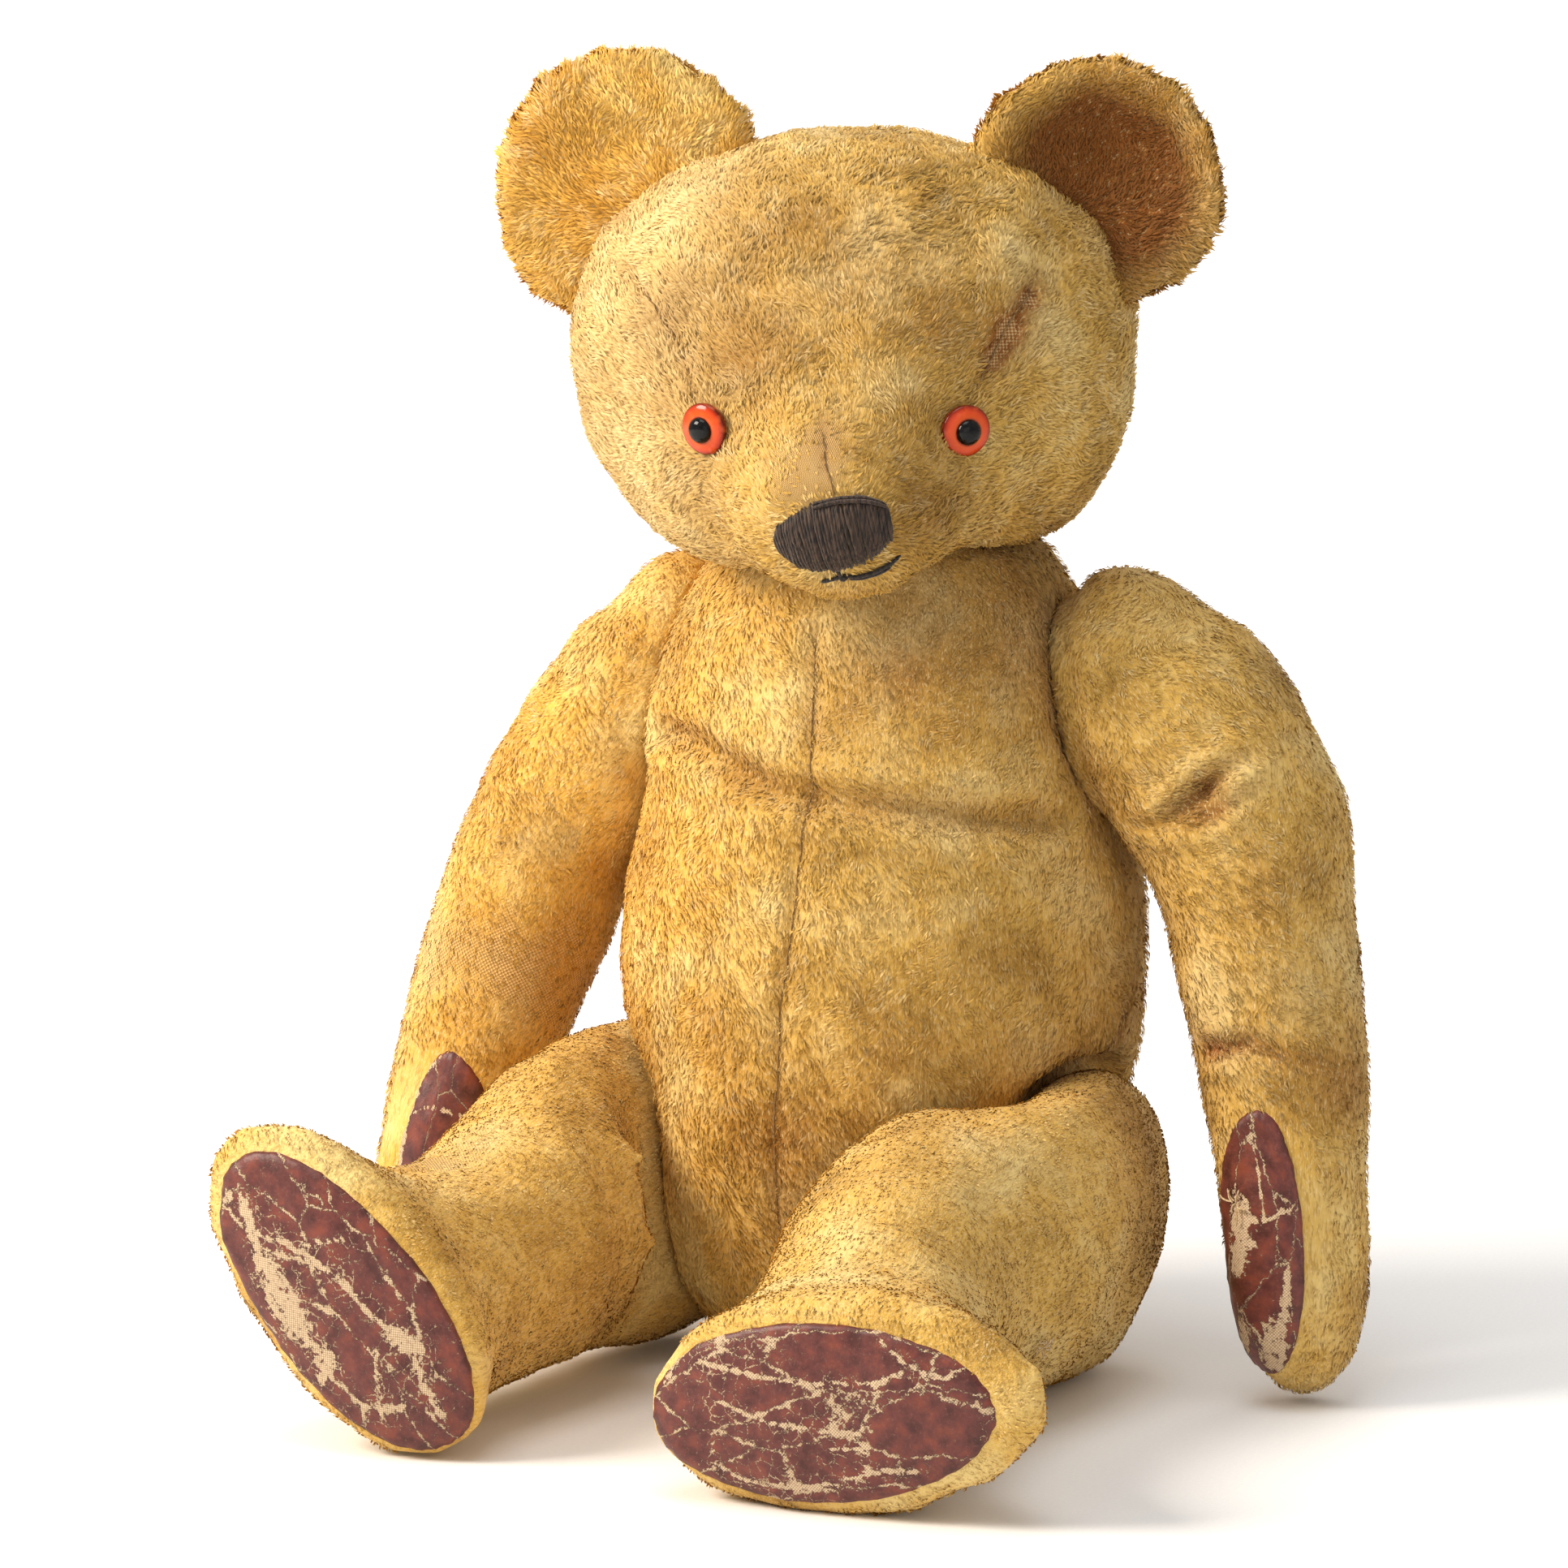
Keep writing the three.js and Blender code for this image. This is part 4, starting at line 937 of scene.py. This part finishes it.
def pile(name, part, count, length, rise, seed, where=None):
    """Locks of matted pile on a skin. Each is a flat blade of two triangles, widest in the middle, that springs from
    a random place, leans along the pile's lie, swings with its neighbours in tufts and bends back at its tip. There
    are fewer and shorter ones where the skin is bare."""
    mesh, field = skins[part].data, fields[part]
    corners, places, facing = corners_of(mesh), places_of(mesh), normals_of(mesh)
    a, b, c = (places[corners[:, k]] for k in range(3))
    area = length_of(np.cross(b - a, c - a)) / 2
    thick = (1.02 - field["bare"]).clip(0.06, 1) * clear_of_pad(part, places)
    weight = area * thick[corners].mean(1)
    if where is not None:
        weight = weight * where((a + b + c) / 3)
    rng = np.random.default_rng(seed)
    chosen = np.searchsorted(np.cumsum(weight) / weight.sum(), rng.random(count)).clip(0, len(corners) - 1)
    u, v = rng.random((2, count))
    flip = u + v > 1
    u, v = np.where(flip, 1 - u, u), np.where(flip, 1 - v, v)
    mix = np.stack([1 - u - v, u, v], 1)

    def at_root(values):
        picked = values[corners[chosen]]
        return (picked * (mix if picked.ndim == 2 else mix[..., None])).sum(1)

    root, normal, way = at_root(places), unit(at_root(facing)), at_root(field["way"])
    bare, stain_and_shade = at_root(field["bare"]), at_root(field["stain_and_shade"])
    way = unit(way - (way * normal).sum(1, keepdims=True) * normal)
    swing = math.radians(80) * (cloud(root, 16 * MM, seed + 1) - 0.5) * 2
    swing += math.radians(60) * (cloud(root, 5 * MM, seed + 2) - 0.5) * 2 + rng.normal(0, 0.25, count)
    cross = np.cross(normal, way)
    lean = np.cos(swing)[:, None] * way + np.sin(swing)[:, None] * cross
    side = np.cross(normal, lean)
    reach = length * MM * rng.uniform(0.55, 1.15, count) * (1 - 0.5 * bare)
    for path in SEAMS.get(part, []):
        reach *= 0.3 + 0.7 * ramp(beside(root, metres(path))[0], 0.3 * MM, 1.8 * MM)
    up = np.radians(rise) * rng.uniform(0.5, 1.5, count) * (0.6 + 0.8 * cloud(root, 5 * MM, seed + 3))
    half = 0.28 * MM * rng.uniform(0.6, 1.4, count)
    roll = rng.normal(0, 0.35, count)
    flat = (side * np.cos(roll)[:, None] + normal * np.sin(roll)[:, None]) * half[:, None]
    height = (reach * np.sin(up))[:, None] * normal
    middle = root + lean * (0.5 * reach)[:, None] + 0.85 * height
    tip = root + lean * reach[:, None] + (0.9 + 0.15 * rng.random(count))[:, None] * height
    foot = root - normal * 0.4 * MM
    made = np.stack([foot, middle - flat, middle + flat, tip], 1).reshape(-1, 3)
    made[:, 2] = np.maximum(made[:, 2], 0.2 * MM)
    base = np.arange(count)[:, None, None] * 4
    faces = (base + np.array([[0, 1, 2], [1, 3, 2]])).reshape(-1, 3)
    blades = mesh_of(name, made, faces)
    tone = 0.7 * cloud(root, 4.5 * MM, seed + 4) + 0.3 * rng.random(count)
    store(blades, "tip", np.tile([0, 0.5, 0.5, 1.0], count))
    for key, values in (("tone", tone), ("stain_and_shade", stain_and_shade), ("gold_and_light", at_root(field["gold_and_light"]))):
        store(blades, key, np.repeat(values, 4))
    # each blade has a cell of its own on the map, in rows
    cells = math.ceil(math.sqrt(count))
    cell = np.stack([np.arange(count) % cells, np.arange(count) // cells], 1)[:, None]
    spots = (cell + np.array([[0.5, 0.1], [0.2, 0.5], [0.8, 0.5], [0.5, 0.9]])) / cells
    blades.uv_layers.new(name="OFBake").uv.foreach_set(
        "vector", spots.reshape(-1, 2)[faces.ravel()].astype(np.float32).ravel())
    soft = unit(normal + 0.2 * rng.normal(0, 1, (count, 3)) + 0.25 * lean)
    blades.normals_split_custom_set_from_vertices(np.repeat(soft, 4, axis=0))
    return piece(name, blades, HAIR, BODY_OF[part])


def in_front(places):
    return places[:, 1] < 0


def behind(places):
    return places[:, 1] >= 0


# how many blades, their length in mm, their rise in degrees and a seed
pile("torso_front_pile", "torso", 46000, 3.8, 13, 100, in_front)
pile("torso_back_pile", "torso", 26000, 4.6, 14, 110, behind)
pile("head_front_pile", "head", 48000, 4.0, 14, 120, in_front)
pile("head_back_pile", "head", 20000, 4.8, 14, 130, behind)
for side, seed in (("left", 140), ("right", 180)):
    pile(f"arm_{side}_pile", f"arm_{side}", 25000, 3.7, 13, seed)
    pile(f"leg_{side}_pile", f"leg_{side}", 33000, 3.0, 10, seed + 10)
    pile(f"ear_{side}_pile", f"ear_{side}", 15000, 4.0, 12, seed + 20)

# ---- eyes


ROUND_EYE = 72  # points round an eye


def lathed(name, profile, at, out):
    """A turned shape: a profile of radius and height carried round a direction, closed by tiny rings."""
    helper = unit(np.cross(out, [0.3, 0.2, 1.0]))
    other = np.cross(out, helper)
    profile = metres(profile)
    turn = np.arange(ROUND_EYE) * 2 * math.pi / ROUND_EYE
    ring = np.cos(turn)[:, None] * helper + np.sin(turn)[:, None] * other
    places = at + profile[:, :1, None] * ring + profile[:, 1:, None] * out
    return mesh_of(name, places.reshape(-1, 3), grid_faces(len(profile), ROUND_EYE))


def smooth_profile(points, steps=8):
    """A profile through some points with rounded bends, each stretch a cubic that follows its neighbours."""
    points = np.array(points, float)
    padded = np.concatenate([points[:1], points, points[-1:]])
    t = np.linspace(0, 1, steps, endpoint=False)[:, None]
    rows = []
    for p, q, r, s in zip(padded, padded[1:], padded[2:], padded[3:]):
        square, cube = 2 * p - 5 * q + 4 * r - s, 3 * q - p - 3 * r + s
        rows.append(0.5 * (2 * q + (r - p) * t + square * t**2 + cube * t**3))
    return np.concatenate([*rows, points[-1:]])


# for each glass of an eye: its material, its slot and its profile in mm
GLASSES = {
    "iris": (eye_glass(), "amber_glass", [[0.05, -0.6], [6.6, -0.6], [7.35, 0.0], [7.5, 0.9], [6.9, 1.6], [5.6, 2.2],
                                          [4.4, 2.5], [3.4, 2.5], [0.05, 2.3]]),
    "pupil": (pupil_glass(), "black_glass", [[0.05, 1.4], [3.4, 1.4], [3.75, 2.6], [3.5, 3.5], [2.7, 4.3], [1.5, 4.8],
                                             [0.05, 5.0]]),
}
for side in SIDES:
    iris = places_of(frame["nodes"][f"eye_{side}_iris"].data)
    middle = (iris.min(0) + iris.max(0)) / 2
    out = np.linalg.eigh(np.cov((iris - middle).T))[1][:, 0]
    out = out * -np.sign(out[1])
    for kind, (glass, slot, profile) in GLASSES.items():
        node = f"eye_{side}_{kind}"
        rows = smooth_profile(profile)
        mesh = lathed(node, rows, middle - out * 1.1 * MM + out * 0.9 * MM, out)
        radius = np.repeat(np.maximum(rows[:, 0], 0), ROUND_EYE)
        store(mesh, "rim", np.clip((radius - 3.4) / 4.1, 0, 1))
        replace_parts(piece(node + "_glass", mesh, glass, "head"), node)

# ---- nose and mouth


def tube(path, radius, around=8):
    """A thread along a path: rings square to it, thinned at both ends."""
    path = np.asarray(path)
    way = unit(np.gradient(path, axis=0))
    first = unit(np.cross(way, [0.31, 0.17, 0.93]))
    second = np.cross(way, first)
    turn = np.arange(around) * 2 * math.pi / around
    taper = np.sqrt(np.clip(1 - np.linspace(-1, 1, len(path)) ** 6, 0.02, 1))[:, None, None] * radius
    ring = np.cos(turn)[:, None] * first[:, None] + np.sin(turn)[:, None] * second[:, None]
    return (path[:, None] + taper * ring).reshape(-1, 3), grid_faces(len(path), around)


def tubes(name, paths, radii, thread, body, node=None):
    """One piece of many threads."""
    mesh = mesh_of(name, *stacked([tube(path, radius) for path, radius in zip(paths, radii)]))

    def ends_closed(work):
        bmesh.ops.holes_fill(work, edges=[edge for edge in work.edges if edge.is_boundary], sides=0)
        bmesh.ops.recalc_face_normals(work, faces=work.faces)

    edited(mesh, ends_closed)
    made = piece(name, mesh, thread, body)
    if node:
        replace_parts(made, node)


def on_face(left, up, proud):
    """Points on the face given to its left and up in millimetres, raised from the skin."""
    head = tree_of_skin("head")
    hits, facing = [], []
    for place in HEAD_MIDDLE + np.outer(left, LEFT) * MM + np.outer(up, UPWARD) * MM + FORWARD * 0.14:
        hit, normal, _, _ = head.ray_cast(Vector(place + FORWARD * 0.2), Vector(-FORWARD))
        if hit is None:
            hit, normal, _, _ = head.find_nearest(Vector(place))
        hits.append(hit)
        facing.append(normal)
    return np.array(hits) + np.array(facing) * np.reshape(proud, (-1, 1)) * MM


def nose():
    """The nose: a shield of upright stitches side by side, each a thread over the padded end of the muzzle, and two
    laid along its upper edge."""
    low, high = map(np.array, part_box("nose_stitching"))
    centre = (low + high) / 2 - HEAD_MIDDLE
    mid_left, mid_up = centre @ LEFT / MM, centre @ UPWARD / MM - 1.6
    rng = np.random.default_rng(31)
    cosine, sine = math.cos(math.radians(13)), math.sin(math.radians(13))  # the nose's tilt
    paths, radii = [], []
    for x in np.arange(-16.6, 16.7, 0.86):
        reach = 10.8 * math.sqrt(max(1 - (abs(x) / 17.4) ** 2.2, 0.02))
        top, bottom = reach + rng.normal(0, 0.25), -reach * 0.98 + rng.normal(0, 0.35)
        t = np.linspace(0, 1, 16)
        up = top + (bottom - top) * t
        left = x * (1 - 0.05 * t) + rng.normal(0, 0.12) + 0.15 * np.sin(t * 5 + x)
        bulge = 3.4 * np.sqrt(np.clip(1 - (2 * t - 1) ** 4, 0, 1)) * (1 - 0.35 * (x / 17) ** 2) - 0.5
        paths.append(on_face(mid_left + left * cosine - up * sine, mid_up + left * sine + up * cosine,
                             bulge + rng.normal(0, 0.12)))
        radii.append(rng.uniform(0.5, 0.66) * MM)
    for lift in (0.4, 1.2):
        x = np.linspace(-4, 15.6, 30)
        up = 10.8 * np.sqrt(1 - (np.abs(x) / 17.6) ** 2.2) - 0.2 - lift
        paths.append(on_face(mid_left + x * cosine - up * sine, mid_up + x * sine + up * cosine, 1.5 + lift))
        radii.append(0.6 * MM)
    tubes("nose_stitches", paths, radii, NOSE_THREAD, "head", "nose_stitching")
    return mid_left, mid_up


nose_left, nose_up = nose()


def mouth():
    """The mouth: a stitch down from the nose, a long one to the bear's left that turns up at its end with another
    under it, a short one to its right and a knot where they meet."""
    lines = [
        ([0, 0.6, 1.5], [-9, -11, -12.6]),
        ([1.5, 6, 11, 15, 18.5], [-12.6, -12.8, -11.6, -9.6, -7.4]),
        ([2, 7, 12, 16], [-13.4, -13.6, -12.4, -10.6]),
        ([1.5, -1.5, -5], [-12.6, -13.8, -15.2]),
        ([1.0, 1.8, 2.6], [-12.4, -13.4, -12.6]),
    ]
    paths = []
    for left, up in lines:
        t = np.linspace(0, 1, 18) * (len(left) - 1)
        rows = np.arange(len(left))
        line_left, line_up = np.interp(t, rows, left), np.interp(t, rows, up)
        proud = 0.9 - 1.6 * np.abs(np.linspace(-1, 1, 18)) ** 8
        paths.append(on_face(nose_left + line_left, nose_up + line_up, proud))
    tubes("mouth_stitches", paths, [0.55 * MM, 0.6 * MM, 0.5 * MM, 0.6 * MM, 0.9 * MM], MOUTH_THREAD, "head",
          "mouth_stitching")


mouth()

# ---- seams and knots


def seam_threads(part):
    """A part's seams: a thread along each, sunk between the hairs, with the slight wander of hand sewing."""
    paths = []
    for path in SEAMS[part]:
        rows = metres(path)
        lengths = np.concatenate([[0], np.cumsum(length_of(np.diff(rows, axis=0)))])
        t = np.linspace(0, lengths[-1], int(lengths[-1] / (1.2 * MM)))
        line = np.stack([np.interp(t, lengths, rows[:, k]) for k in range(3)], 1)
        line = line + 0.6 * MM * (cloud(line, 7 * MM, 41)[:, None] - 0.5)
        hit, normal, _ = nearest(part, line)
        paths.append(hit + normal * (0.3 + 0.35 * np.sin(t / MM * 1.9))[:, None] * MM)
    tubes(part + "_seams", paths, [FINE_THREAD] * len(paths), DARK_SEAM, BODY_OF[part])


for part in SEAMS:
    seam_threads(part)


def frayed(name, part, at, spread, seed):
    """A knot of mending thread with loose ends: short curls that start together and wander apart."""
    rng = np.random.default_rng(seed)
    hit, normal, _ = (found[0] for found in nearest(part, metres([at])))
    first = unit(np.cross(normal, [0.2, 0.1, 1.0]))
    second = np.cross(normal, first)
    paths = []
    for _ in range(9):
        turn, length, bend = rng.uniform(0, 2 * math.pi), rng.uniform(0.5, 1.0) * spread, rng.uniform(-2.4, 2.4)
        t = np.linspace(0, 1, 14)
        way = turn + bend * t
        steps = np.stack([np.cumsum(np.cos(way)), np.cumsum(np.sin(way))], 1)
        run = steps * length / 14 + rng.normal(0, 0.5, 2)
        rise = 1.4 + 1.2 * np.sin(t * 3.0) * rng.random() + rng.random()
        paths.append(hit + (run[:, :1] * first + run[:, 1:] * second + rise[:, None] * normal) * MM)
    tubes(name, paths, [FINE_THREAD] * len(paths), SEAM_THREAD, BODY_OF[part])


frayed("paw_mend", "arm_left", [124, -40, 60], 7, 51)
frayed("toe_knot", "leg_left", [84, -96, 27], 6, 52)

# ---- hardware inside

CARD, STEEL = pressed_card(), plated_steel()
for name, node in frame["nodes"].items():
    if name.endswith(("_washer", "_split_pin", "_disc")):
        node.data.materials.clear()
        node.data.materials.append(CARD if name.endswith("_disc") else STEEL)

# ---- studio

KEY_WAY, CAMERA_WAY, CAMERA_HEIGHT = -50, 22, 7.5  # degrees round from the bear's front and up
DISTANCE, LENS, SENSOR = 1.9, 146.3, 36
AIM = Vector((-0.0278, -0.0112, 0.171))
SWEEP_FLOOR, SWEEP_BEND, SWEEP_END = 1.7, 0.7, 1.2  # where the paper starts to curl, its radius, and its turn


def toward(azimuth, elevation):
    """The direction out from the bear at an angle round it and an angle up, in degrees."""
    a, e = math.radians(azimuth), math.radians(elevation)
    return Vector((math.sin(a) * math.cos(e), -math.cos(a) * math.cos(e), math.sin(e)))


BACK = toward(CAMERA_WAY, CAMERA_HEIGHT)


def sweep():
    """A white paper sweep: a flat floor that curls up behind, square to the camera and no higher than needed."""
    away = np.array([-math.sin(math.radians(CAMERA_WAY)), math.cos(math.radians(CAMERA_WAY))])
    across = np.array([away[1], -away[0]])
    turn = np.linspace(0, SWEEP_END, 24)
    run = np.concatenate([[-4.0], SWEEP_FLOOR + SWEEP_BEND * np.sin(turn)])
    rise = np.concatenate([[0.0], SWEEP_BEND - SWEEP_BEND * np.cos(turn)])
    flat = run[:, None] * away
    rows = [np.concatenate([flat + end * across, rise[:, None]], 1) for end in (-4, 4)]
    mesh = mesh_of("sweep", np.stack(rows, 1).reshape(-1, 3), grid_faces(len(run), 2, closed=False))
    material("white_paper", 0.9, Specular_IOR_Level=0.1)
    grain = add("TexNoise", {"Vector": here(), "Scale": 900}, "Fac")
    mesh.materials.append(feed(colours(grain, [(0.3, "#F3F2F1"), (0.7, "#F8F7F6")])))
    floor = bpy.data.objects.new("sweep", mesh)
    scene.collection.objects.link(floor)


def looking(name, data, at, way):
    """Puts a lamp or a camera at a place, looking back along a direction."""
    made = bpy.data.objects.new(name, data)
    made.location = at
    made.rotation_euler = (-way).to_track_quat("-Z", "Y").to_euler()
    scene.collection.objects.link(made)
    return made


def lamp(name, azimuth, elevation, distance, size, watts, colour="#FFFFFF", aim=AIM):
    """A soft box that looks at the bear, or at another place."""
    light = bpy.data.lights.new(name, "AREA")
    light.size, light.energy, light.color = size, watts, linear(colour)[:3]
    way = toward(azimuth, elevation)
    looking(name, light, aim + way * distance, way)


sweep()
lamp("key", KEY_WAY, 34, 1.9, 0.8, 44.5, "#FFF6E8")
lamp("fill", 36, 8, 2.4, 1.6, 4)
lamp("top", 0, 76, 1.8, 1.0, 10)
for name, azimuth in (("backdrop_left", 110), ("backdrop_right", -110)):
    lamp(name, azimuth, 62, 1.6, 1.4, 16, aim=AIM - BACK * 2.1 + Vector((0, 0, 0.4)))
world = bpy.data.worlds.new("studio")
world.use_nodes = True
world.node_tree.nodes["Background"].inputs["Color"].default_value = (1, 1, 1, 1)
world.node_tree.nodes["Background"].inputs["Strength"].default_value = 0.5
scene.world = world
scene.view_settings.view_transform = "Standard"
scene.camera = looking("camera", bpy.data.cameras.new("camera"), AIM + BACK * DISTANCE, BACK)
scene.camera.data.lens, scene.camera.data.sensor_width = LENS, SENSOR
